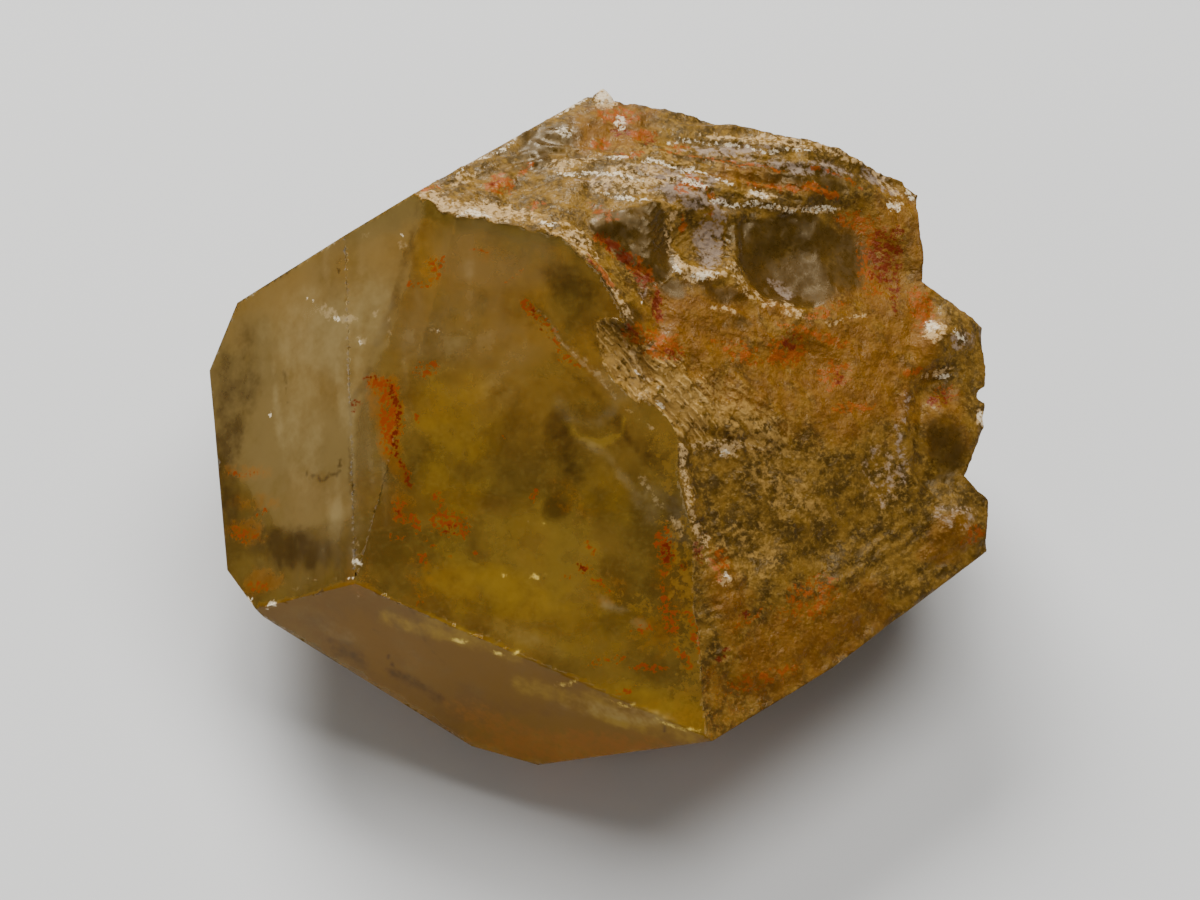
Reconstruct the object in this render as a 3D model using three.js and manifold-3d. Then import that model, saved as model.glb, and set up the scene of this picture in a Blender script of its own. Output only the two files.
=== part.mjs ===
// A stubby citrine crystal, one solid piece: flat growth faces on the left, in front and behind,
// and a rough break over the top and the right end, where it came off its neighbours.
// Millimetres, +Z up. It lies on a small flat under its middle, and the origin is at the centre of the
// base of its box. Until the last step all places are measured from the heart, a point inside it.
import * as THREE from 'three';
import { mergeVertices } from 'three/addons/utils/BufferGeometryUtils.js';
import Module from 'manifold-3d';

const wasm = await Module();
wasm.setup();

const blankSize = 70; // edge of the block that the crystal is cleft from
const citrine = new THREE.MeshStandardMaterial({ color: 0x8a6a2c, roughness: 0.25, metalness: 0 });

// Growth faces: the compass angle that a face looks towards (counter-clockwise from +X), how far it leans
// up (+) or down (-) from the horizon, in degrees, and its distance from the heart.
const growthFaces = [
  { name: 'window', azimuth: 260, rise: 54, out: 9.9 },
  { name: 'left bevel', azimuth: 209.5, rise: 40.5, out: 13.3 },
  { name: 'shoulder', azimuth: 223.5, rise: 51, out: 12.11 },
  { name: 'front bevel', azimuth: 248, rise: 4, out: 14.05 },
  { name: 'upper left side', azimuth: 128.05, rise: 34.8, out: 14.31 },
  { name: 'left corner, upper', azimuth: 156.5, rise: 9.5, out: 17.6 },
  { name: 'left side', azimuth: 182.5, rise: -9, out: 17.15 },
  { name: 'left corner, lower', azimuth: 212, rise: -29.5, out: 15.9 },
  { name: 'lower left side', azimuth: 229.5, rise: -35, out: 14.3 },
  { name: 'keel, left', azimuth: 251.5, rise: -42.5, out: 14.1 },
  { name: 'keel, right', azimuth: 289, rise: -43, out: 12.7 },
  { name: 'lower right side, near', azimuth: 306.6, rise: -38, out: 12.88 },
  { name: 'lower right side, far', azimuth: 313.2, rise: -35.6, out: 13.27 },
  { name: 'back', azimuth: 96, rise: -6, out: 14.2 },
  { name: 'underside, back', azimuth: 80, rise: -54, out: 8.6 },
  { name: 'underside, left', azimuth: 182, rise: -48, out: 13.2 },
  { name: 'underside, right', azimuth: 358, rise: -46, out: 14 },
  { name: 'rest', azimuth: 0, rise: -90, out: 8.5 },
];

// The break across the front, drawn as it is seen from 50 degrees above the table: every place in the
// lists below is [across, up] in that view, from the heart.
const viewTilt = 40; // how far up from level the view leans, measured at the crystal
const breakCell = 0.46;
const breakPlanes = [
  { name: 'top band, left', azimuth: 90, rise: 84.3, out: 13.25 },
  { name: 'top band, right', azimuth: 48, rise: 82.4, out: 13.05 },
  { name: 'upper break', azimuth: 317, rise: 59.5, out: 10.55 },
  { name: 'main break', azimuth: 309, rise: 50, out: 10.9 },
];

// Steps in the break: the stone drops by `drop` on the right of the line walked from `from` to `to`, and
// has come back to its level at `reach` beyond it.
const steps = [
  { from: [-8.5, 11.2], to: [-1.4, 10.1], drop: -0.5, width: 0.5, reach: 3.2 },
  { from: [-1.6, 9.9], to: [2.2, 5.0], drop: -0.55, width: 0.4, reach: 2.6 },
  { from: [2.9, 1.6], to: [3.5, 0.2], drop: -0.4, width: 0.45, reach: 1.6 },
  { from: [3.3, 0.6], to: [4.6, -4.8], drop: -0.35, width: 0.4, reach: 2 },
  { from: [-6.6, 12.6], to: [-0.6, 16.0], drop: -0.35, width: 0.3, reach: 1.5 },
  { from: [-4.6, 12.2], to: [0.8, 15.2], drop: 0.3, width: 0.35, reach: 2.2 },
  { from: [-2.6, 11.6], to: [1.6, 13.4], drop: -0.3, width: 0.3, reach: 1.6 },
  { from: [5.0, 11.2], to: [8.4, 10.7], drop: 0.45, width: 0.3, reach: 2.4 },
  { from: [8.0, 10.9], to: [12.2, 11.1], drop: 0.5, width: 0.35, reach: 3 },
  { from: [3.6, 14.3], to: [11.8, 13.2], drop: 0.35, width: 0.3, reach: 1.4 },
  { from: [2.6, 12.8], to: [7.2, 12.5], drop: 0.3, width: 0.3, reach: 1.6 },
  { from: [2.4, 11.1], to: [2.9, 8.3], drop: -0.35, width: 0.3, reach: 1.5 },
  { from: [3.4, 0.6], to: [8.8, 0.2], drop: 0.35, width: 0.35, reach: 2.6 },
  { from: [14.1, 3.0], to: [14.2, -1.8], drop: -0.6, width: 0.4, reach: 3 },
  { from: [4.9, -9.9], to: [7.8, -10.5], drop: 0.35, width: 0.3, reach: 1.2 },
  { from: [8.6, -9.0], to: [13.6, -6.6], drop: 0.3, width: 0.35, reach: 1.4 },
];

// Shell-shaped hollows with a sharp rim; turn is the angle of the long half-width `radii[0]`.
const hollows = [
  { at: [4.4, 9.5], radii: [1.9, 1.5], turn: -35, depth: 0.75 },
  { at: [8.3, 8.0], radii: [2.5, 1.9], turn: -30, depth: 0.7 },
  { at: [11.6, 8.3], radii: [2.9, 2.3], turn: 10, depth: 0.55 },
  { at: [0.9, 8.7], radii: [1.9, 1.0], turn: -38, depth: 0.6 },
  { at: [13.2, 12.3], radii: [1.9, 1.0], turn: -35, depth: 0.5 },
  { at: [-3.0, 13.9], radii: [2.3, 1.1], turn: 30, depth: 0.45 },
  { at: [1.0, 3.5], radii: [3.1, 1.5], turn: -52, depth: 1.35 },
  { at: [9.6, 3.6], radii: [2.2, 1.3], turn: -20, depth: 0.35 },
  { at: [15.4, 3.0], radii: [1.2, 0.7], turn: 10, depth: 0.5 },
  { at: [6.6, -3.4], radii: [2.6, 1.8], turn: -50, depth: 0.3 },
  { at: [10.8, -4.4], radii: [2.8, 1.6], turn: 25, depth: 0.3 },
];

// Rounded knobs that the break left standing at the right end.
const swells = [
  { at: [15.9, 4.9], radii: [1.5, 1.5], turn: 0, depth: 0.8 },
  { at: [15.9, 0.7], radii: [1.6, 2.0], turn: 0, depth: 0.6 },
  { at: [16.6, -3.4], radii: [1.6, 1.3], turn: 0, depth: 0.5 },
];

// Fans of straight tear lines, `pitch` apart and `height` deep, that run along `turn`.
const tears = [
  { at: [1.8, 2.6], radii: [3.6, 1.1], turn: -52, pitch: 0.95, height: 0.22 },
  { at: [6.0, 2.0], radii: [4.2, 1.7], turn: -38, pitch: 1.05, height: 0.2 },
  { at: [7.6, -1.4], radii: [3.4, 1.5], turn: -33, pitch: 1.1, height: 0.14 },
];

// How rough the break is: high on the band at the top, low in the glassy hollows at the right.
const grain = [
  { at: [-2, 12.5], radius: 6, height: 0.42 },
  { at: [5, 12.5], radius: 5, height: 0.34 },
  { at: [2, 6.5], radius: 4, height: 0.24 },
  { at: [11.5, 8.5], radius: 4, height: 0.07 },
  { at: [7, 1], radius: 5, height: 0.14 },
  { at: [8, -5], radius: 6, height: 0.15 },
  { at: [15.5, 2], radius: 3, height: 0.25 },
];

// Notches in the right end. What lies beyond both faces of a pair is gone.
const notches = [
  [
    { azimuth: 5.5, rise: -6, out: 14.15, relief: 0.22, lump: 2.4, cell: 0.95 },
    { azimuth: 48, rise: 25.5, out: 14.6, relief: 0.25, lump: 2, cell: 0.95 },
  ],
  [
    { azimuth: 345, rise: -18, out: 15.2, relief: 0.2, lump: 2, cell: 0.95 },
    { azimuth: 43, rise: 23, out: 9.65, relief: 0.2, lump: 2, cell: 0.95 },
  ],
];

// Small bites out of the edges, each [across, up, towards] and half-widths.
const bites = [
  { at: [18.35, 2.5, 3.6], radii: [1.2, 0.5, 3] },
  { at: [-10.7, -4.8, 9.9], radii: [0.5, 0.75, 0.6] },
];

// Rough ends that stand nearly upright. relief is how far the lumps stand in or out, lump their size.
const roughEnds = [
  { name: 'right end', azimuth: 4.5, rise: -6, out: 16.75, relief: 0.4, lump: 2.6, cell: 0.95 },
  { name: 'back, right', azimuth: 78, rise: 8, out: 12.15, relief: 0.16, lump: 3.4, cell: 1.1 },
  { name: 'back corner', azimuth: 44, rise: 12, out: 17.35, relief: 0.2, lump: 2.6, cell: 0.95 },
];

const radians = THREE.MathUtils.degToRad;

// Turns local +Z to look along a face's direction, with local +X down the slope and local +Y level.
function facing({ azimuth, rise }) {
  const turn = new THREE.Matrix4().makeRotationZ(radians(azimuth));
  return turn.multiply(new THREE.Matrix4().makeRotationY(radians(90 - rise)));
}

function solidFrom(geometry) {
  const bare = geometry.clone();
  bare.deleteAttribute('normal');
  bare.deleteAttribute('uv');
  const merged = mergeVertices(bare, 1e-4);
  const vertProperties = merged.attributes.position.array;
  const triVerts = new Uint32Array(merged.index.array);
  return new wasm.Manifold(new wasm.Mesh({ numProp: 3, vertProperties, triVerts }));
}

function geometryFrom(solid) {
  const { vertProperties, triVerts } = solid.getMesh();
  const geometry = new THREE.BufferGeometry();
  geometry.setAttribute('position', new THREE.BufferAttribute(vertProperties, 3));
  geometry.setIndex(new THREE.BufferAttribute(triVerts, 1));
  return geometry;
}

// Smooth noise from -1 to 1 over space, with one random value at each whole point.
function valueAt(ix, iy, iz) {
  let h = Math.imul(ix, 374761393) + Math.imul(iy, 668265263) + Math.imul(iz, 2147483647);
  h = Math.imul(h ^ (h >>> 13), 1274126177);
  return ((h ^ (h >>> 16)) >>> 0) / 2147483648 - 1;
}

function noise(x, y, z) {
  const [ix, iy, iz] = [Math.floor(x), Math.floor(y), Math.floor(z)];
  const [fx, fy, fz] = [x - ix, y - iy, z - iz].map((f) => f * f * (3 - 2 * f));
  let sum = 0;
  for (const [cx, wx] of [[0, 1 - fx], [1, fx]])
    for (const [cy, wy] of [[0, 1 - fy], [1, fy]])
      for (const [cz, wz] of [[0, 1 - fz], [1, fz]]) sum += wx * wy * wz * valueAt(ix + cx, iy + cy, iz + cz);
  return sum;
}

// Hackly relief from -1 to 1: broad lumps, with sharper crests at half and a quarter of their size.
function hackle(p, lump) {
  const broad = noise(p.x / lump, p.y / lump, p.z / lump);
  const crest = 1 - 2 * Math.abs(noise((2 * p.x) / lump + 9, (2 * p.y) / lump, (2 * p.z) / lump));
  const fine = 1 - 2 * Math.abs(noise((4 * p.x) / lump, (4 * p.y) / lump + 9, (4 * p.z) / lump));
  return 0.5 * broad + 0.32 * crest + 0.18 * fine;
}

// The block of stone beyond a flat face.
function beyond(face) {
  const block = new THREE.BoxGeometry(2 * blankSize, 2 * blankSize, blankSize);
  block.translate(0, 0, face.out + blankSize / 2);
  return solidFrom(block.applyMatrix4(facing(face)));
}

// The block of stone beyond a rough end, with that end's lumps on it.
function beyondRough(face) {
  const reach = 40;
  const depth = 4;
  const cells = Math.round(reach / face.cell);
  const block = new THREE.BoxGeometry(reach, reach, depth, cells, cells, 1);
  block.translate(0, 0, face.out + depth / 2);
  block.applyMatrix4(facing(face));
  const outward = new THREE.Vector3(0, 0, 1).transformDirection(facing(face));
  const place = block.attributes.position;
  const p = new THREE.Vector3();
  for (let i = 0; i < place.count; i++) {
    p.fromBufferAttribute(place, i);
    p.addScaledVector(outward, face.relief * hackle(p, face.lump));
    place.setXYZ(i, p.x, p.y, p.z);
  }
  return solidFrom(block).add(beyond({ ...face, out: face.out + depth / 2 }));
}

// Turns the front view's across, up and towards into the crystal's own +X, +Y and +Z.
const fromView = new THREE.Matrix4().makeRotationX(radians(viewTilt));

// A smooth rise from 0 to 1 as t goes from 0 to 1.
const ease = (t) => THREE.MathUtils.smoothstep(t, 0, 1);

// Where a place lies in a patch: its distances along and across the patch's long way.
function inPatch(across, up, { at, turn }) {
  const [a, b] = [across - at[0], up - at[1]];
  const [c, s] = [Math.cos(radians(turn)), Math.sin(radians(turn))];
  return [a * c + b * s, b * c - a * s];
}

function stepDepth(across, up, { from, to, drop, width, reach }) {
  const [la, lb] = [to[0] - from[0], to[1] - from[1]];
  const length = Math.hypot(la, lb);
  const along = ((across - from[0]) * la + (up - from[1]) * lb) / length;
  const side = ((across - from[0]) * lb - (up - from[1]) * la) / length;
  const beside = Math.sign(drop) * side + 0.3 * noise(across * 0.9, up * 0.9, 5);
  const ends = ease((along + 0.6) / 1.2) * ease((length + 0.6 - along) / 1.2);
  if (beside < 0) return 0;
  return Math.abs(drop) * ends * ease(beside / width) * Math.max(0, 1 - beside / reach);
}

function hollowDepth(across, up, hollow) {
  const [along, beside] = inPatch(across, up, hollow);
  const away = Math.hypot(along / hollow.radii[0], beside / hollow.radii[1]);
  return hollow.depth * Math.max(0, 1 - away * away);
}

function tearHeight(across, up, tear) {
  const [along, beside] = inPatch(across, up, tear);
  const away = Math.hypot(along / tear.radii[0], beside / tear.radii[1]);
  const wave = Math.abs((((beside + 0.03 * along * along) / tear.pitch + 40) % 1) * 2 - 1);
  return tear.height * (2 * wave - 1) * ease(1.6 - 1.2 * away);
}

function grainHeight(across, up) {
  let [sum, weights] = [0, 0];
  for (const { at, radius, height } of grain) {
    const weight = Math.exp(-2 * ((across - at[0]) ** 2 + (up - at[1]) ** 2) / radius ** 2);
    sum += weight * height;
    weights += weight;
  }
  return (sum + 0.001) / (weights + 0.01);
}

// How far the break stands towards the viewer at a place in the front view. The place is first nudged
// about, so that no line in the lists runs quite straight.
function breakAt(acrossView, upView) {
  const bend = (x, y, seed) => 0.55 * noise(x / 2.3, y / 2.3, seed) + 0.3 * noise(x / 0.9, y / 0.9, seed);
  const across = acrossView + bend(acrossView, upView, 11);
  const up = upView + bend(acrossView, upView, 23);
  let front = Infinity;
  for (const face of breakPlanes) {
    const n = new THREE.Vector3(0, 0, 1).transformDirection(facing(face));
    n.applyMatrix4(fromView.clone().transpose());
    front = Math.min(front, (face.out - n.x * acrossView - n.y * upView) / n.z);
  }
  const shape = steps.reduce((sum, step) => sum + stepDepth(across, up, step), 0)
    + hollows.reduce((most, hollow) => Math.max(most, hollowDepth(across, up, hollow)), 0)
    - swells.reduce((sum, swell) => sum + hollowDepth(across, up, swell), 0)
    - tears.reduce((sum, tear) => sum + tearHeight(across, up, tear), 0);
  const p = new THREE.Vector3(across, up, 0);
  return front - shape + grainHeight(across, up) * hackle(p, 1.9);
}

// The stone in front of the break. Its grid is turned to lie along the tears.
function beforeBreak() {
  const size = 42;
  const near = 30;
  const cells = Math.round(size / breakCell);
  const block = new THREE.BoxGeometry(size, size, 2, cells, cells, 1);
  block.rotateZ(radians(-42));
  block.translate(4, 1, 0);
  const place = block.attributes.position;
  for (let i = 0; i < place.count; i++) {
    const [x, y] = [place.getX(i), place.getY(i)];
    const across = x + 0.14 * noise(x * 1.9, y * 1.9, 31);
    const up = y + 0.14 * noise(x * 1.9, y * 1.9, 47);
    place.setXYZ(i, across, up, place.getZ(i) > 0 ? near : breakAt(across, up));
  }
  return solidFrom(block.applyMatrix4(fromView));
}

// A rounded, lumpy piece of stone.
function pebble({ at, radii }) {
  const ball = new THREE.SphereGeometry(1, 16, 11);
  ball.scale(...radii);
  ball.translate(...at);
  const place = ball.attributes.position;
  const p = new THREE.Vector3();
  const centre = new THREE.Vector3(...at);
  for (let i = 0; i < place.count; i++) {
    p.fromBufferAttribute(place, i);
    p.sub(centre).multiplyScalar(1 + 0.16 * hackle(p, 1.3)).add(centre);
    place.setXYZ(i, p.x, p.y, p.z);
  }
  return solidFrom(ball.applyMatrix4(fromView));
}

let crystal = solidFrom(new THREE.BoxGeometry(blankSize, blankSize, blankSize));
for (const face of growthFaces) crystal = crystal.subtract(beyond(face));
for (const face of roughEnds) crystal = crystal.subtract(beyondRough(face));
for (const [upper, lower] of notches) {
  crystal = crystal.subtract(beyondRough(upper).intersect(beyondRough(lower)));
}
for (const face of breakPlanes) crystal = crystal.subtract(beyond({ ...face, out: face.out + 1.2 }));
crystal = crystal.subtract(beforeBreak());
for (const bite of bites) crystal = crystal.subtract(pebble(bite));

const body = geometryFrom(crystal);
body.computeBoundingBox();
const { min, max } = body.boundingBox;
body.translate(-(min.x + max.x) / 2, -(min.y + max.y) / 2, -min.z);

const mesh = new THREE.Mesh(body, citrine);
mesh.name = 'citrine_crystal';

const specimen = new THREE.Group();
specimen.add(mesh);

export default specimen;
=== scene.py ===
import math
import bmesh
import bpy
import numpy as np
from mathutils import Matrix, Vector, noise


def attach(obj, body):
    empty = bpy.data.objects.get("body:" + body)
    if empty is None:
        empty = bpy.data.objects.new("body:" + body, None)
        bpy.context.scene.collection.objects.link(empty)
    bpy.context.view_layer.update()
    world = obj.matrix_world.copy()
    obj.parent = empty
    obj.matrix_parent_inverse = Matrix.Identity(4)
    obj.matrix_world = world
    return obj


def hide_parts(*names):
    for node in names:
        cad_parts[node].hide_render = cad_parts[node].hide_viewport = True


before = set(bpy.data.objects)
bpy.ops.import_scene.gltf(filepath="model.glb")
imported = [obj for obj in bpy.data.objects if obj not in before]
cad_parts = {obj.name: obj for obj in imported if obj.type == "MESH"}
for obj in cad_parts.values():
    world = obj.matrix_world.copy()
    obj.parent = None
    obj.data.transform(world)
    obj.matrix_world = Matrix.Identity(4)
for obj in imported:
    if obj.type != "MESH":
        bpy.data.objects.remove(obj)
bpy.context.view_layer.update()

mm = 0.001
heart = Vector((0.18952, 1.6481, 8.5)) * mm  # the point inside the crystal that its faces are measured from
viewTilt = math.radians(40)  # the photo looks down at the crystal from 50 degrees above the table

# a place in the part becomes [across, up, towards], as the photo sees it, in mm from the heart
toView = np.array(Matrix.Rotation(-viewTilt, 3, "X")) / mm
upInPart = np.array((0, math.cos(viewTilt), math.sin(viewTilt)))
towardsInPart = np.array((0, -math.sin(viewTilt), math.cos(viewTilt)))


def ease(low, high, value):
    t = np.clip((value - low) / (high - low), 0, 1)
    return t * t * (3 - 2 * t)


def noiseAt(points, size, seed=0.0):
    # smooth noise from about -1 to 1, for an array of points in mm
    shift = Vector((seed * 7.3, seed * 3.1, -seed * 5.7))
    return np.array([noise.noise(Vector(p) + shift) for p in np.asarray(points) / size])


def crestAt(points, size, seed=0.0):
    # the same with sharp crests
    steepness = 2.6
    return 1 - steepness * np.abs(noiseAt(points, size, seed))


def inPatch(across, up, at, turn):
    a, b = across - at[0], up - at[1]
    c, s = math.cos(math.radians(turn)), math.sin(math.radians(turn))
    return a * c + b * s, b * c - a * s


def patchShape(across, up, at, radii, turn=0, rim=(1.15, 0.35)):
    # 1 in the middle of an oval patch, 0 outside it; `rim` is where it ends and where it is full
    along, beside = inPatch(across, up, at, turn)
    return ease(*rim, np.hypot(along / radii[0], beside / radii[1]))


def lineShape(across, up, line, width):
    # 1 on a bent line, 0 at `width` from it
    core = 0.2 * width
    nearest = np.full(len(across), 1e9)
    for (ax, ay), (bx, by) in zip(line, line[1:]):
        lx, ly = bx - ax, by - ay
        t = np.clip(((across - ax) * lx + (up - ay) * ly) / (lx * lx + ly * ly), 0, 1)
        nearest = np.minimum(nearest, np.hypot(across - ax - t * lx, up - ay - t * ly))
    return ease(width, core, nearest)


def areaShape(across, up, outline, soft):
    # 1 inside a closed outline, fading to 0 at `soft` mm outside it
    closed = outline + outline[:1]
    inside = np.zeros(len(across), dtype=bool)
    for (ax, ay), (bx, by) in zip(closed, closed[1:]):
        crosses = (ay > up) != (by > up)
        inside ^= crosses & (across < (bx - ax) * (up - ay) / (by - ay + 1e-9) + ax)
    return np.where(inside, 1.0, lineShape(across, up, closed, soft))


print("stage: skin of the crystal")

skin = {
    "weld": 0.002,         # mm, corners closer than this are one
    "flatArea": 3.0,       # mm2, a level stretch larger than this is a growth face
    "level": 0.004,        # mm, how far a corner of a growth face may lie off its plane
    "sliver": 0.02,        # mm2, a facet smaller than this may point anywhere
    "edgeRound": 0.06,     # mm, how far the growth faces' edges are worn back
    "wornLength": 0.3,     # mm, a shorter edge stays sharp
    "wornAngle": 0.05,     # radians, and so does a flatter one
    "wornNumber": 99,      # what the layer "grown" says on a worn edge
    "gridArea": 2.0,       # mm2, a growth face larger than this gets a grid of points
    "inFront": 0.12,       # how far a face turns to the photo to be in front, 1 is straight at it
    "fineStep": 0.18,      # mm between points on the growth faces in front
    "coarseStep": 0.8,     # mm between points on the others
    "firstCut": 0.37,      # steps from a face's rim to its first row of points
    "breakLevels": 2,      # how often the break's facets are halved
    "relax": 0.45,         # how much the break's facets are smoothed at each level
    "sharpAngle": 32,      # degrees, a sharper edge isn't shaded smooth
}


def planeKey(face):
    n = face.normal
    out = (face.calc_center_median() - heart).dot(n) / mm
    return (round(n.x, 2), round(n.y, 2), round(n.z, 2), round(out, 1))


def startMesh():
    # the layer "grown" says which growth face a facet is part of, 0 is the break
    bm = bmesh.new()
    bm.from_mesh(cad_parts["citrine_crystal"].data)
    bmesh.ops.remove_doubles(bm, verts=bm.verts, dist=skin["weld"] * mm)
    bm.normal_update()
    areas = {}
    largest = {}
    for face in bm.faces:
        key = planeKey(face)
        area = face.calc_area() / mm**2
        areas[key] = areas.get(key, 0) + area
        if area > largest.get(key, (0, None))[0]:
            largest[key] = (area, face)
    planes = [(largest[key][1].normal.copy(), largest[key][1].calc_center_median())
              for key in areas if areas[key] > skin["flatArea"]]
    grown = bm.faces.layers.int.new("grown")
    for face in bm.faces:
        for number, (n, point) in enumerate(planes):
            off = max(abs((v.co - point).dot(n)) for v in face.verts)
            same = face.normal.dot(n) > 0.99 or face.calc_area() < skin["sliver"] * mm**2
            if off < skin["level"] * mm and same:
                face[grown] = number + 1
                break
    return bm, grown


def joinFlats(bm, grown):
    inside = [e for e in bm.edges if len(e.link_faces) == 2 and e.link_faces[0][grown]
              and e.link_faces[0][grown] == e.link_faces[1][grown]]
    bmesh.ops.dissolve_edges(bm, edges=inside, use_verts=False, use_face_split=False)


def wearEdges(bm, grown):
    worn = [e for e in bm.edges if len(e.link_faces) == 2 and all(f[grown] for f in e.link_faces)
            and e.calc_face_angle(0) > skin["wornAngle"] and e.calc_length() > skin["wornLength"] * mm
            and all(f[grown] for v in e.verts for f in v.link_faces)]
    result = bmesh.ops.bevel(bm, geom=worn, offset=skin["edgeRound"] * mm, segments=2, affect="EDGES",
                             profile=0.5, clamp_overlap=True)
    for face in result["faces"]:
        face[grown] = skin["wornNumber"]


def gridFlats(bm, grown):
    towards = Vector(towardsInPart)
    for face in [f for f in bm.faces if f[grown] and f.calc_area() > skin["gridArea"] * mm**2]:
        n = face.normal.copy()
        step = skin["fineStep" if n.dot(towards) > skin["inFront"] else "coarseStep"] * mm
        level = Vector((-n.y, n.x, 0)).normalized() if abs(n.z) < 0.99 else Vector((1, 0, 0))
        centre = face.calc_center_median()
        parts = [face]
        for way in (level, n.cross(level)):
            reach = [(v.co - centre).dot(way) for f in parts for v in f.verts]
            at = min(reach) + skin["firstCut"] * step
            ahead = parts
            parts = []
            while at < max(reach) and ahead:
                # each once, in a fixed order
                geom = list(dict.fromkeys(x for f in ahead for x in (f, *f.edges, *f.verts)))
                cut = bmesh.ops.bisect_plane(bm, geom=geom, plane_co=centre + way * at, plane_no=way,
                                             dist=skin["level"] * mm)
                ahead = []
                for f in (x for x in cut["geom"] if isinstance(x, bmesh.types.BMFace)):
                    behind = (f.calc_center_median() - centre).dot(way) < at
                    (parts if behind else ahead).append(f)
                at += step
            parts += ahead
    bmesh.ops.triangulate(bm, faces=bm.faces[:])


def refineBreak(bm, grown):
    for level in range(skin["breakLevels"]):
        edges = [e for e in bm.edges if any(not f[grown] for f in e.link_faces)]
        bmesh.ops.subdivide_edges(bm, edges=edges, cuts=1, use_grid_fill=False)
        bmesh.ops.triangulate(bm, faces=[f for f in bm.faces if len(f.verts) > 3])
        inner = [v for v in bm.verts if not any(f[grown] for f in v.link_faces)]
        bmesh.ops.smooth_vert(bm, verts=inner, factor=skin["relax"], use_axis_x=True, use_axis_y=True,
                              use_axis_z=True)


bm, grown = startMesh()
joinFlats(bm, grown)
wearEdges(bm, grown)
gridFlats(bm, grown)
print("growth faces laid out", len(bm.faces))
refineBreak(bm, grown)
bm.normal_update()
bm.verts.index_update()
print("points", len(bm.verts), "faces", len(bm.faces))


def shareOfFlats(v):
    return sum(f[grown] > 0 for f in v.link_faces) / max(1, len(v.link_faces))


co = np.array([v.co for v in bm.verts])
normals = np.array([v.normal for v in bm.verts])
flatShare = np.array([shareOfFlats(v) for v in bm.verts])
rough = flatShare == 0
flat = flatShare == 1
places = (co - np.array(heart)) @ toView.T
across, up = places[:, 0], places[:, 1]
turnsAway, turnsTo = -0.1, 0.15    # between these a face goes from hidden to seen in the photo
inView = ease(turnsAway, turnsTo, normals @ towardsInPart)

print("stage: relief of the break")

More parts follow.
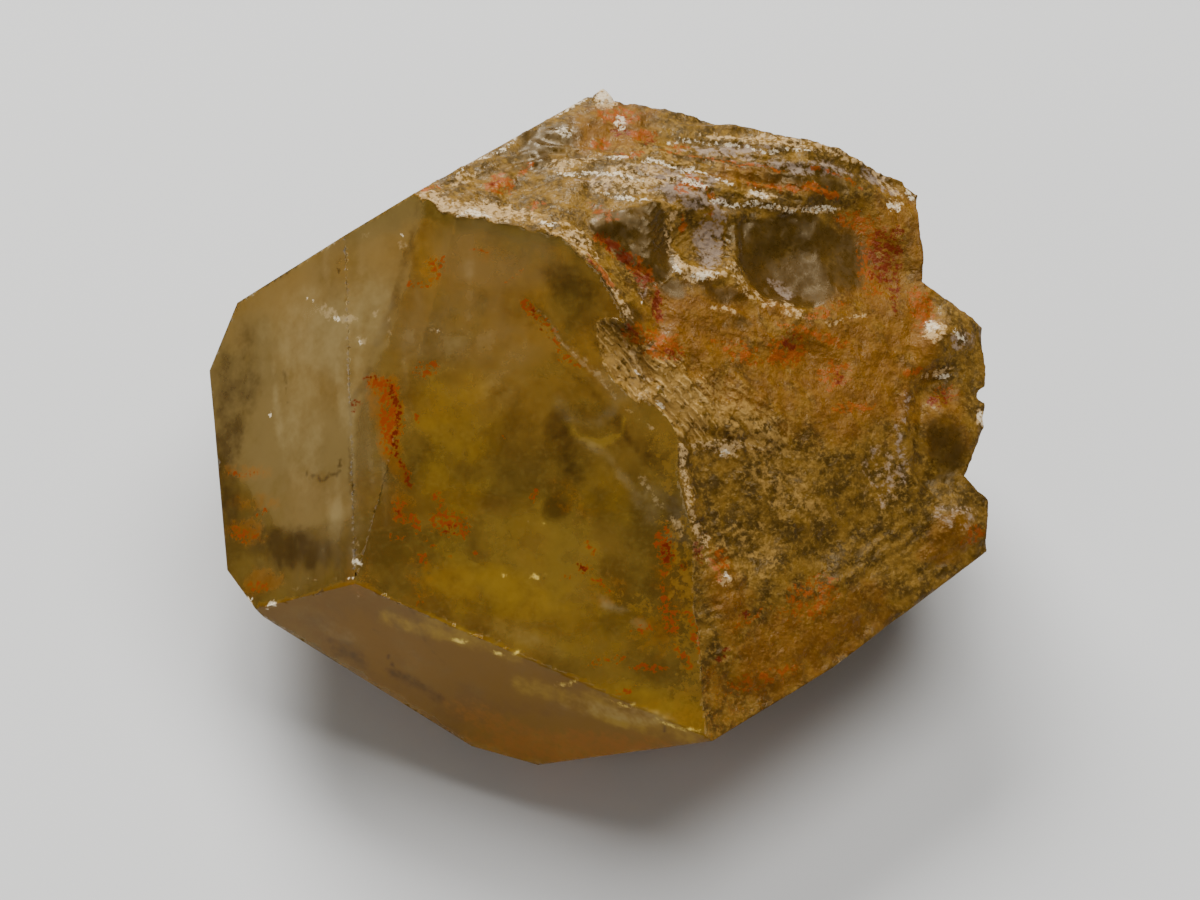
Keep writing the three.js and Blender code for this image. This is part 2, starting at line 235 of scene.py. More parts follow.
relief = {
    "grain": [(0.9, 0.038), (0.4, 0.026)],      # mm, size and height of the lumps all over the break
    "smooth": [                                 # glassy places without grain
        ((10.5, 8.3), (3.8, 2.6), 0, 0.9), ((-2.5, 13.5), (2.1, 1.4), 30, 0.8),
        ((3.4, 7.2), (1, 1), 0, 0.7), ((15.9, 0.9), (1.5, 2.2), 0, 0.8),
        ((7.4, 8.8), (1.3, 1.6), 0, 0.8), ((1.0, 10.3), (1.5, 0.6), 0, 0.7),
        ((4.3, 9.3), (1.5, 1.2), -35, 0.7),
    ],
    "bend": (1.3, 0.18),                        # size and reach of the noise that bends all that follows
    "tearHeight": 0.05,
    "tears": [                                  # fans of tear lines
        {"at": (0.6, 4.2), "radii": (4.2, 1.5), "turn": -50, "bow": 0.02, "pitch": 0.28, "strength": 1},
        {"at": (3.2, 2.6), "radii": (4.2, 2.0), "turn": -47, "bow": 0.02, "pitch": 0.3, "strength": 1},
        {"at": (6.4, 1.4), "radii": (4.4, 1.6), "turn": -40, "bow": 0.02, "pitch": 0.34, "strength": 0.7},
        {"at": (7.4, -1.6), "radii": (3.4, 1.6), "turn": -31, "bow": 0.02, "pitch": 0.4, "strength": 0.45},
        {"at": (1.6, 7.4), "radii": (2.6, 1.0), "turn": -45, "bow": 0.0, "pitch": 0.3, "strength": 0.6},
        {"at": (7.8, 4.8), "radii": (3.8, 1.3), "turn": -22, "bow": 0.02, "pitch": 0.4, "strength": 0.35},
        {"at": (3.4, 10.0), "radii": (1.6, 1.6), "turn": 38, "bow": 0.1, "pitch": 0.3, "strength": 0.6},
        {"at": (5.2, 12.4), "radii": (6.5, 1.5), "turn": -9, "bow": 0.01, "pitch": 0.36, "strength": 0.7},
        {"at": (-4.6, 11.2), "radii": (4.5, 1.3), "turn": -12, "bow": 0.0, "pitch": 0.36, "strength": 0.5},
        {"at": (4.2, -4.6), "radii": (1.2, 4.6), "turn": 22, "bow": 0.02, "pitch": 0.4, "strength": 0.5},
        {"at": (5.2, 8.9), "radii": (1.2, 1.2), "turn": -30, "bow": 0.2, "pitch": 0.26, "strength": 0.7},
    ],
    "ledges": [                                 # thin stacked ledges
        {"at": (4.0, 13.0), "radii": (8.0, 2.6), "turn": -8, "long": 3.2, "wide": 0.5, "height": 0.13},
        {"at": (-5.0, 11.6), "radii": (4.5, 1.6), "turn": 18, "long": 2.2, "wide": 0.45, "height": 0.1},
        {"at": (4.4, -5.0), "radii": (2.0, 5.0), "turn": 18, "long": 1.2, "wide": 0.5, "height": 0.07},
        {"at": (13.0, -6.0), "radii": (4.0, 2.5), "turn": 30, "long": 2.4, "wide": 0.5, "height": 0.07},
    ],
    "ridges": [                                 # raised rims of the shell-shaped scoops and of the steps
        {"line": [(5.9, 9.6), (5.9, 8.2), (6.4, 7.1), (7.4, 6.5), (9.0, 6.2)], "width": 0.6, "height": 0.2},
        {"line": [(3.3, 8.6), (3.7, 8.05), (4.6, 7.7), (5.4, 7.85)], "width": 0.4, "height": 0.2},
        {"line": [(-2.6, 9.8), (-0.7, 8.6), (1.0, 6.4), (1.6, 5.4)], "width": 0.3, "height": 0.14},
        {"line": [(1.9, 2.4), (2.6, 0.9), (3.6, -0.1), (3.9, -2.7)], "width": 0.35, "height": 0.14},
        {"line": [(4.4, 0.2), (5.6, 0.3), (7.2, 0.2), (8.6, -0.6)], "width": 0.3, "height": 0.1},
        {"line": [(13.7, 2.4), (13.8, 0.6), (14.0, -1.2), (14.8, -2.2)], "width": 0.3, "height": 0.12},
    ],
    "waves": (3.2, 0.014),                      # size and height of the growth faces' faint waves
    "fissure": {                                # groove of the healed fissure in the window
        "line": [(-3.1, 6.3), (-2.2, 5.4), (-1.8, 4.6), (-0.4, 3.3), (0.6, 2.2)],
        "bend": (0.6, 0.1), "width": 0.22, "depth": 0.05,
    },
    "tooth": {                                  # the small tooth on the peak
        "at": (0.15, 16.1), "radius": 0.5, "height": 0.5, "bluntness": 0.7,
    },
}


def bent(places):
    # across and up, bent by noise so that no line of the break is clean
    size, reach = relief["bend"]
    return [places[:, i] + reach * noiseAt(places, size, 3 + i) for i in (0, 1)]


def linesOn(places):
    # where on its fan of tear lines a place lies, a whole number being a line, and how strong they are
    u, v = bent(places)
    phase = np.zeros(len(places))
    share = np.zeros(len(places))
    for number, fan in enumerate(relief["tears"]):
        along, beside = inPatch(u, v, fan["at"], fan["turn"])
        oval = patchShape(u, v, fan["at"], fan["radii"], fan["turn"], rim=(1.15, 0.5))
        inside = fan["strength"] * oval
        # the last two terms keep the lines' numbers above 0, and apart from fan to fan
        own = (beside + fan["bow"] * along**2) / fan["pitch"] + 7.3 * number + 60
        phase = np.where(inside > share, own, phase)
        share = np.maximum(share, inside)
    return phase, share


def breakRelief(places):
    u, v = places[:, 0], places[:, 1]
    bendU, bendV = bent(places)
    lift = np.zeros(len(places))
    for number, (size, height) in enumerate(relief["grain"]):
        lift += height * crestAt(places, size, 1 + number)
    for at, radii, turn, strength in relief["smooth"]:
        lift *= 1 - strength * patchShape(u, v, at, radii, turn)
    for ledge in relief["ledges"]:
        along, beside = inPatch(bendU, bendV, ledge["at"], ledge["turn"])
        inside = patchShape(bendU, bendV, ledge["at"], ledge["radii"], ledge["turn"], rim=(1.1, 0.7))
        layered = np.stack([along / ledge["long"], beside / ledge["wide"], np.full(len(u), 4.0)], 1)
        lift += inside * ledge["height"] * crestAt(layered, 1, 8)
    phase, share = linesOn(places)
    lift += relief["tearHeight"] * share * np.abs((phase % 1) * 2 - 1)
    for ridge in relief["ridges"]:
        lift += ridge["height"] * lineShape(bendU, bendV, ridge["line"], ridge["width"])
    return lift


lift = np.zeros(len(co))
lift[rough] = breakRelief(places[rough])
waveSize, waveHeight = relief["waves"]
lift[flat] = waveHeight * noiseAt(places[flat], waveSize, 12)
fissure = relief["fissure"]
bendSize, bendReach = fissure["bend"]
bentAcross = across[flat] + bendReach * noiseAt(places[flat], bendSize, 5)
lift[flat] -= fissure["depth"] * lineShape(bentAcross, up[flat], fissure["line"], fissure["width"])
co += normals * (lift * mm)[:, None]
tooth = relief["tooth"]
toothShape = np.clip(1 - np.hypot(across - tooth["at"][0], up - tooth["at"][1]) / tooth["radius"], 0, 1)
co += upInPart * (toothShape**tooth["bluntness"] * tooth["height"] * mm)[:, None]
for v, p in zip(bm.verts, co):
    v.co = p


def facetOrder(face):
    low, middle, high = sorted(v.index for v in face.verts)
    return (low * len(co) + middle) * len(co) + high


bm.faces.sort(key=facetOrder)    # the cuts leave them in another order at each run
crystalMesh = bpy.data.meshes.new("citrineCrystal")
bm.to_mesh(crystalMesh)
bm.free()
grownFaces = np.array([d.value > 0 for d in crystalMesh.attributes["grown"].data])
crystalMesh.polygons.foreach_set("use_smooth", np.ones(len(crystalMesh.polygons), dtype=bool))
crystalMesh.set_sharp_from_angle(angle=math.radians(skin["sharpAngle"]))

print("stage: where the stains, veils and glassy places lie")

# a mark is (across, up), half-widths, turn and strength; a line is its points, half-width and strength;
# an area is its outline, how softly it ends and strength
# some of these marks are painted light: a golden glow, glints and highlights, and in part a sheen, a
# reflection and a facet's shading
flatMarks = {
    # greyer olive tone; on the left bevel it is partly a painted reflection of the dark table
    "grey": [
        ((-13.2, 1.5), (4.8, 9.5), 0, 0.7), ((-9.4, 6.5), (3.0, 4.5), 20, 0.6),
        ((-4.5, 8.6), (4.5, 2.2), -8, 0.7), ((-5.6, 5.2), (4.2, 3.2), 0, 0.5),
    ],
    "gold": [
        ((-6.4, 0.4), (2.4, 4.2), 0, 0.55), ((-4.5, -10), (5.4, 1.6), -20, 0.8),
        ((-1.5, -13.0), (6.4, 1.8), 0, 0.9), ((1.5, -11.6), (5.6, 1.8), -6, 0.8),
        ((-9, -9), (5, 1.8), -24, 0.7), ((-4.4, -6.4), (4.6, 1.6), -16, 0.6),
        ((0.6, -8.2), (3.4, 2.2), 0, 0.4), ((-0.1, -1.9), (1.9, 1.7), 0, 0.45),
    ],
    # painted glow: soft golden light seen through the stone, mostly low in the window and on the front
    # bevel
    "glow": [
        ((-2.9, -5.2), (3.8, 3.8), 0, 0.75), ((-5.4, -5.0), (4.2, 3.4), -20, 0.5),
        ((-3.2, -8.2), (3.0, 0.9), -20, 0.6), ((-1.6, -6.6), (2.6, 2.0), 0, 0.6),
        ((-6.4, 0.6), (3.6, 5.4), 0, 0.3), ((2.0, -11.0), (3.0, 1.4), -14, 0.4),
        ((-6.2, -8.2), (2.6, 0.5), -26, 0.55), ((0.6, -11.8), (3.4, 0.45), -14, 0.6),
        ((0.7, -3.0), (1.0, 1.4), 10, 0.3), ((-2.4, -10.6), (1.6, 0.4), -6, 0.5),
    ],
    "sand": [
        ((4.6, -7.4), (1.7, 6.4), 4, 0.85), ((3.6, -4.4), (1.0, 2.4), 30, 0.6),
        ((3.0, -0.6), (1.0, 2.0), 20, 0.6), ((4.0, -11.0), (1.6, 1.6), 0, 0.6),
        ((1.6, -6.8), (1.6, 0.5), -20, 0.5),
    ],
    "amber": [
        ((-16.2, -1.0), (1.6, 0.5), 0, 0.6), ((-15.7, -2.4), (1.5, 0.5), 2, 0.55),
        ((-16.2, -3.7), (1.3, 0.8), 0, 0.8), ((-15.3, -6.0), (1.3, 0.7), 12, 0.9),
        ((-8.8, -2.4), (0.9, 1.2), 0, 0.55), ((-8.0, -5.6), (0.9, 1.6), 10, 0.4),
        ((-7.5, 8.0), (0.9, 0.9), 0, 0.4), ((-4.8, 8.6), (1.4, 0.6), 0, 0.3),
        ((-1.6, -13.3), (6.0, 1.0), 0, 0.7), ((2.6, -8.0), (1.6, 1.6), 0, 0.5),
        ((3.4, -5.8), (1.4, 2.8), 10, 0.5), ((-10.6, -5.8), (1.2, 0.8), 0, 0.35),
        ((-4.6, -12.4), (3.4, 0.8), -24, 0.5), ((0.4, -6.2), (1.4, 1.0), -20, 0.4),
        ((-1.4, -2.2), (1.8, 0.7), -60, 0.3),
    ],
    "haze": [
        ((-12.6, 5.4), (3.0, 2.4), -10, 0.6), ((-10.4, 6.2), (1.6, 2.4), 0, 0.5),
        ((-7.0, 4.9), (3.0, 1.8), 0, 0.3), ((-13.4, 1.5), (1.4, 5.0), 3, 0.35),
        ((-10.9, -3.6), (0.6, 2.4), 0, 0.35), ((3.0, -2.6), (1.4, 2.2), 34, 0.4),
        ((-3.4, -8.2), (2.6, 0.6), -24, 0.3), ((0.8, -11.6), (3.6, 0.5), -8, 0.3),
        ((-4.2, 3.2), (1.4, 2.4), -30, 0.25), ((0.9, 2.6), (1.9, 0.7), -46, 0.4),
        ((-12.2, -8.0), (2.6, 0.6), -28, 0.2), ((0.5, -6.8), (0.9, 0.3), -20, 0.7),
        ((1.8, -7.7), (0.7, 0.3), -10, 0.5),
    ],
    "veil": [
        ((-11.9, 6.1), (1.3, 0.35), -20, 0.7), ((-10.1, 6.1), (0.6, 0.2), 35, 0.6),
        ((-10.7, 4.9), (0.4, 0.3), 0, 0.7), ((-10.6, 9.7), (0.4, 0.2), 0, 0.6),
        ((-8.9, 9.2), (0.3, 0.2), 0, 0.5), ((-7.4, 5.4), (0.5, 0.15), 10, 0.6),
        ((-12.4, 6.4), (0.5, 0.2), -20, 0.8), ((-9.4, 5.4), (0.2, 1.4), -8, 0.3),
        ((-2.4, 6.7), (0.1, 0.1), 0, 0.6), ((-3.1, -3.2), (0.12, 0.08), 0, 0.7),
    ],
    # painted highlights: tiny pale bright points where light glitters on the growth faces
    "spark": [
        ((-10.75, -5.0), (0.26, 0.2), 0, 0.9), ((-11.0, -5.6), (0.2, 0.14), 0, 0.8),
        ((-16.0, -6.8), (0.3, 0.16), 0, 1), ((-14.8, -6.95), (0.28, 0.14), 0, 0.9),
        ((-10.75, 4.75), (0.16, 0.14), 0, 1), ((-11.2, 5.2), (0.1, 0.1), 0, 0.8),
        ((-15.0, 1.6), (0.1, 0.1), 0, 0.9), ((-8.9, 9.6), (0.1, 0.1), 0, 0.8),
        ((-10.6, 9.7), (0.12, 0.08), 0, 0.7), ((-13.2, 6.8), (0.5, 0.09), -22, 0.7),
        ((-11.9, 6.0), (0.3, 0.16), -20, 0.9), ((-7.2, 5.3), (0.14, 0.1), 0, 0.9),
    ],
    # painted reflection: small bright golden glints, standing in for light mirrored by cracks inside the
    # stone
    "glint": [
        ((-2.85, -5.5), (0.22, 0.13), 20, 1), ((-2.5, -5.45), (0.12, 0.1), 0, 1),
        ((-4.3, -5.5), (0.2, 0.1), 0, 0.8), ((-6.3, -8.4), (0.42, 0.12), -22, 0.9),
        ((-4.6, -9.0), (0.36, 0.1), -14, 0.8), ((-3.6, -9.0), (0.3, 0.08), 0, 0.7),
        ((-5.4, -8.0), (0.5, 0.07), -16, 0.6), ((-1.5, -10.4), (0.7, 0.09), 12, 0.5),
        ((3.6, -12.2), (1.4, 0.08), -14, 0.5), ((0.9, -11.2), (1.0, 0.07), -10, 0.4),
        ((-2.6, -3.3), (0.3, 0.06), -8, 0.5),
    ],
    "rust": [
        ((-8.9, -2.7), (0.5, 0.7), 0, 0.75), ((-8.2, -3.2), (0.3, 0.8), 20, 0.85),
        ((-6.8, -3.2), (0.9, 0.7), 0, 0.75), ((-9.3, 1.2), (0.6, 1.6), -8, 0.9),
        ((-9.7, 2.9), (0.9, 0.4), 0, 0.9), ((-7.2, -2.2), (0.3, 0.5), 30, 0.6),
        ((-7.9, -4.8), (0.3, 0.3), 0, 0.7), ((-7.8, 3.5), (0.9, 0.45), 10, 0.62),
        ((-5.5, -4.6), (0.15, 0.4), 0, 0.7), ((-3.2, 6.4), (0.55, 0.3), -50, 1),
        ((-0.7, -5.2), (0.42, 0.34), 0, 1), ((-0.45, -4.4), (0.2, 0.3), 0, 0.7),
        ((0, -6), (0.7, 0.16), -34, 0.8), ((-1.4, -5.6), (0.5, 0.14), 10, 0.6),
        ((-8.2, 1.4), (0.16, 0.3), 0, 0.8), ((-7.4, 8.2), (0.4, 0.5), 30, 0.6),
        ((-5.3, 8.9), (0.5, 0.12), 0, 0.6), ((-4.0, 7.6), (0.7, 0.12), 24, 0.55),
        ((0.4, -9.3), (1.0, 0.2), 10, 0.65), ((2.2, -9.6), (1.0, 0.2), 0, 0.7),
        ((1.1, -10.6), (0.8, 0.16), 20, 0.65), ((1.9, -7.9), (0.7, 0.25), 10, 0.6),
        ((3.6, -9.1), (0.2, 0.9), 34, 0.7), ((-16.2, -3.8), (0.9, 0.4), 0, 0.7),
        ((-16.2, -1.1), (1.1, 0.12), 2, 0.6), ((-15.4, -2.9), (0.5, 0.12), 20, 0.6),
        ((2.9, -4.3), (0.5, 1.2), 0, 0.75), ((3.0, -7.4), (0.4, 1.0), 20, 0.55),
        ((-1.7, 4.0), (0.4, 0.16), -45, 0.7), ((-4.2, 0.6), (0.4, 0.1), 60, 0.5),
        ((-2.9, -2.0), (0.3, 0.4), 0, 0.6), ((4.2, -8.2), (0.4, 1.6), 14, 0.5),
        ((-15.5, -6.2), (0.6, 0.3), 0, 0.6), ((-8.0, -6.6), (0.25, 0.5), 0, 0.5),
        ((-6.1, -3.7), (0.4, 0.3), 0, 0.8), ((-9.1, -3.9), (0.5, 0.16), 10, 0.6),
    ],
    "deepRed": [
        ((-8.45, -1.5), (0.26, 0.22), 0, 1), ((-10.2, 3.3), (0.5, 0.14), 6, 0.8),
        ((-6.6, -3.6), (0.5, 0.24), 30, 0.7), ((-9.1, -2.9), (0.3, 0.14), 0, 0.7),
        ((-0.75, -5.25), (0.24, 0.2), 0, 0.9), ((3.0, -4.6), (0.3, 0.8), 0, 0.8),
        ((-2.95, 6.1), (0.3, 0.14), -50, 0.7), ((-10.9, 2.0), (0.24, 0.5), -30, 0.6),
        ((3.7, -5.2), (0.24, 0.3), 0, 0.9),
    ],
    "dark": [
        ((-17, 0.3), (1.0, 5.5), 0, 0.6), ((-16.4, 3.4), (1.2, 3.4), 0, 0.4),
        ((-13.6, -4.5), (2.9, 1.2), -6, 0.75), ((-1.9, 1.2), (0.8, 1.0), 20, 0.9),
        ((-1.9, -2.6), (0.8, 0.9), 0, 0.75), ((-1.4, -0.6), (0.7, 1.8), 10, 0.6),
        ((-1.1, 7.1), (2.0, 1.2), -30, 0.6), ((-3.9, -0.4), (1.2, 3.4), -2, 0.3),
        ((3.3, -3.0), (0.6, 1.6), 10, 0.8), ((2.3, -0.2), (0.9, 1.4), 30, 0.6),
        ((-11.2, -9.2), (1.6, 0.6), -28, 0.6), ((2.8, -7.2), (1.2, 1.8), 20, 0.4),
        ((0.2, 4.8), (1.6, 0.8), -50, 0.45), ((3.7, -5.25), (0.3, 0.24), 0, 1),
        ((-8.4, -10.6), (2.2, 0.5), -30, 0.5), ((0.4, 1.6), (0.8, 0.7), 0, 0.5),
        ((-1.2, -7.6), (2.0, 0.5), -8, 0.25),
    ],
}
flatLines = {
    "rust": [
        ([(-3.1, 6.3), (-2.2, 5.4), (-1.8, 4.6), (-0.9, 3.8)], 0.16, 0.8),
        ([(-8.5, 7.5), (-7.7, 7.4), (-7.1, 7.8), (-6.9, 8.6)], 0.16, 0.65),
        ([(-8.4, -2.6), (-7.6, -4.2), (-6.6, -4.8)], 0.1, 0.5),
        ([(2.6, -5.2), (3.0, -6.8), (4.6, -8.2)], 0.16, 0.55),
        ([(4.3, -5.8), (4.5, -8.0), (4.8, -10.6)], 0.3, 0.5),
    ],
    "deepRed": [
        ([(-9.4, 3.0), (-9.05, 2.0), (-9.2, 0.5), (-8.9, -0.5), (-8.45, -1.4)], 0.2, 0.9),
        ([(-3.3, 6.5), (-2.7, 5.8), (-2.1, 5.1)], 0.1, 0.7),
    ],
    "veil": [
        ([(-2.0, 5.1), (-0.7, 4.0), (0.84, 2.1), (2.4, 0.9)], 0.16, 0.6),
        ([(1.8, -1.2), (2.9, -2.6), (4.1, -4.3)], 0.3, 0.55),
        ([(-10.7, -6.6), (-10.7, -5.0), (-10.85, -3.4)], 0.1, 0.4),
        ([(-8.9, -6.6), (-4.9, -8.3), (-1.6, -9.8)], 0.1, 0.35),
        ([(-15.2, -6.6), (-13.0, -5.9), (-11.4, -5.6)], 0.1, 0.4),
    ],
    # painted glow and reflection: a bright arc and bright stripes where cracks inside mirror the light
    "glow": [
        ([(-1.6, 1.3), (-1.0, 0.6), (0.13, 0.35), (0.9, 0.8), (1.1, 1.4)], 0.24, 0.9),
        ([(-1.9, -5.2), (-4.9, -5.3), (-6.8, -4.6)], 0.14, 0.8),
        ([(-9.6, -7.5), (-6.3, -8.4), (-3.6, -9.1)], 0.5, 0.55),
        ([(-3.6, -10.4), (1.9, -12.0), (4.2, -12.9)], 0.7, 0.5),
    ],
    "haze": [
        ([(-1.9, 2.2), (-1.2, 1.4), (-0.2, 1.2), (0.8, 1.9)], 0.5, 0.4),
        ([(-1.0, 0.4), (0.6, -0.4), (1.6, -2.4)], 0.4, 0.4),
    ],
    "dark": [
        ([(-8.2, 11.0), (-8.8, 8.0), (-9.2, 6.4), (-10.1, 4.4), (-11.2, 1.9)], 0.3, 0.45),
        ([(-11.2, 1.9), (-11.15, -1.0), (-10.9, -3.4)], 0.2, 0.35),
        ([(-2.0, 4.2), (-0.3, 2.4), (1.4, 0.5), (2.4, -0.6)], 0.35, 0.55),
        ([(-8.9, -6.2), (-7.4, -9.0), (-6.9, -9.6)], 0.1, 0.4),
        ([(-4.75, 2.3), (-4.7, 0.2), (-4.5, -1.8)], 0.12, 0.35),
        ([(-13.2, -1.0), (-12.6, -1.4), (-11.9, -1.0), (-11.6, -0.2)], 0.09, 0.8),
        ([(-14.4, 3.6), (-14.2, 2.2)], 0.07, 0.6), ([(-11.7, 8.1), (-11.9, 8.6)], 0.06, 0.9),
        ([(-7.5, 8.6), (-7.2, 8.2)], 0.07, 0.9), ([(2.8, -12.1), (3.0, -12.5)], 0.08, 1),
        ([(-9.6, -9.2), (-9.1, -9.8)], 0.07, 0.9), ([(-10.2, -8.0), (-8.8, -8.2)], 0.05, 0.6),
    ],
}
flatAreas = {
    # painted shading: the facet beside the window is painted a paler grey with a crisp edge, for the
    # lighter shading it shows
    "shoulder": [
        ([(-8.2, 11.2), (-8.9, 7.2), (-10.1, 4.4), (-11.2, 1.9), (-11.4, -2.6), (-14.2, -3.4),
          (-17.5, 0.4), (-17.6, 3.6), (-16.5, 6.5)], 0.6, 0.85),
    ],
    "honey": [
        ([(-15.3, -7.2), (-10.8, -6.0), (4.7, -12.8), (-2.7, -14.0), (-5.6, -13.1)], 0.3, 0.9),
    ],
    "amber": [
        ([(-10.3, 3.2), (-9.3, 3.0), (-9.0, 2.0), (-9.2, 0.5), (-8.9, -0.5), (-8.8, -1.3),
          (-9.6, -0.2), (-9.7, 1.1), (-10.2, 2.2)], 0.4, 0.8),
    ],
    "rust": [
        ([(-10.2, 3.1), (-9.3, 3.0), (-9.0, 2.0), (-9.2, 0.5), (-8.5, -1.3), (-9.3, 0.2),
          (-9.5, 1.6)], 0.2, 0.6),
    ],
}
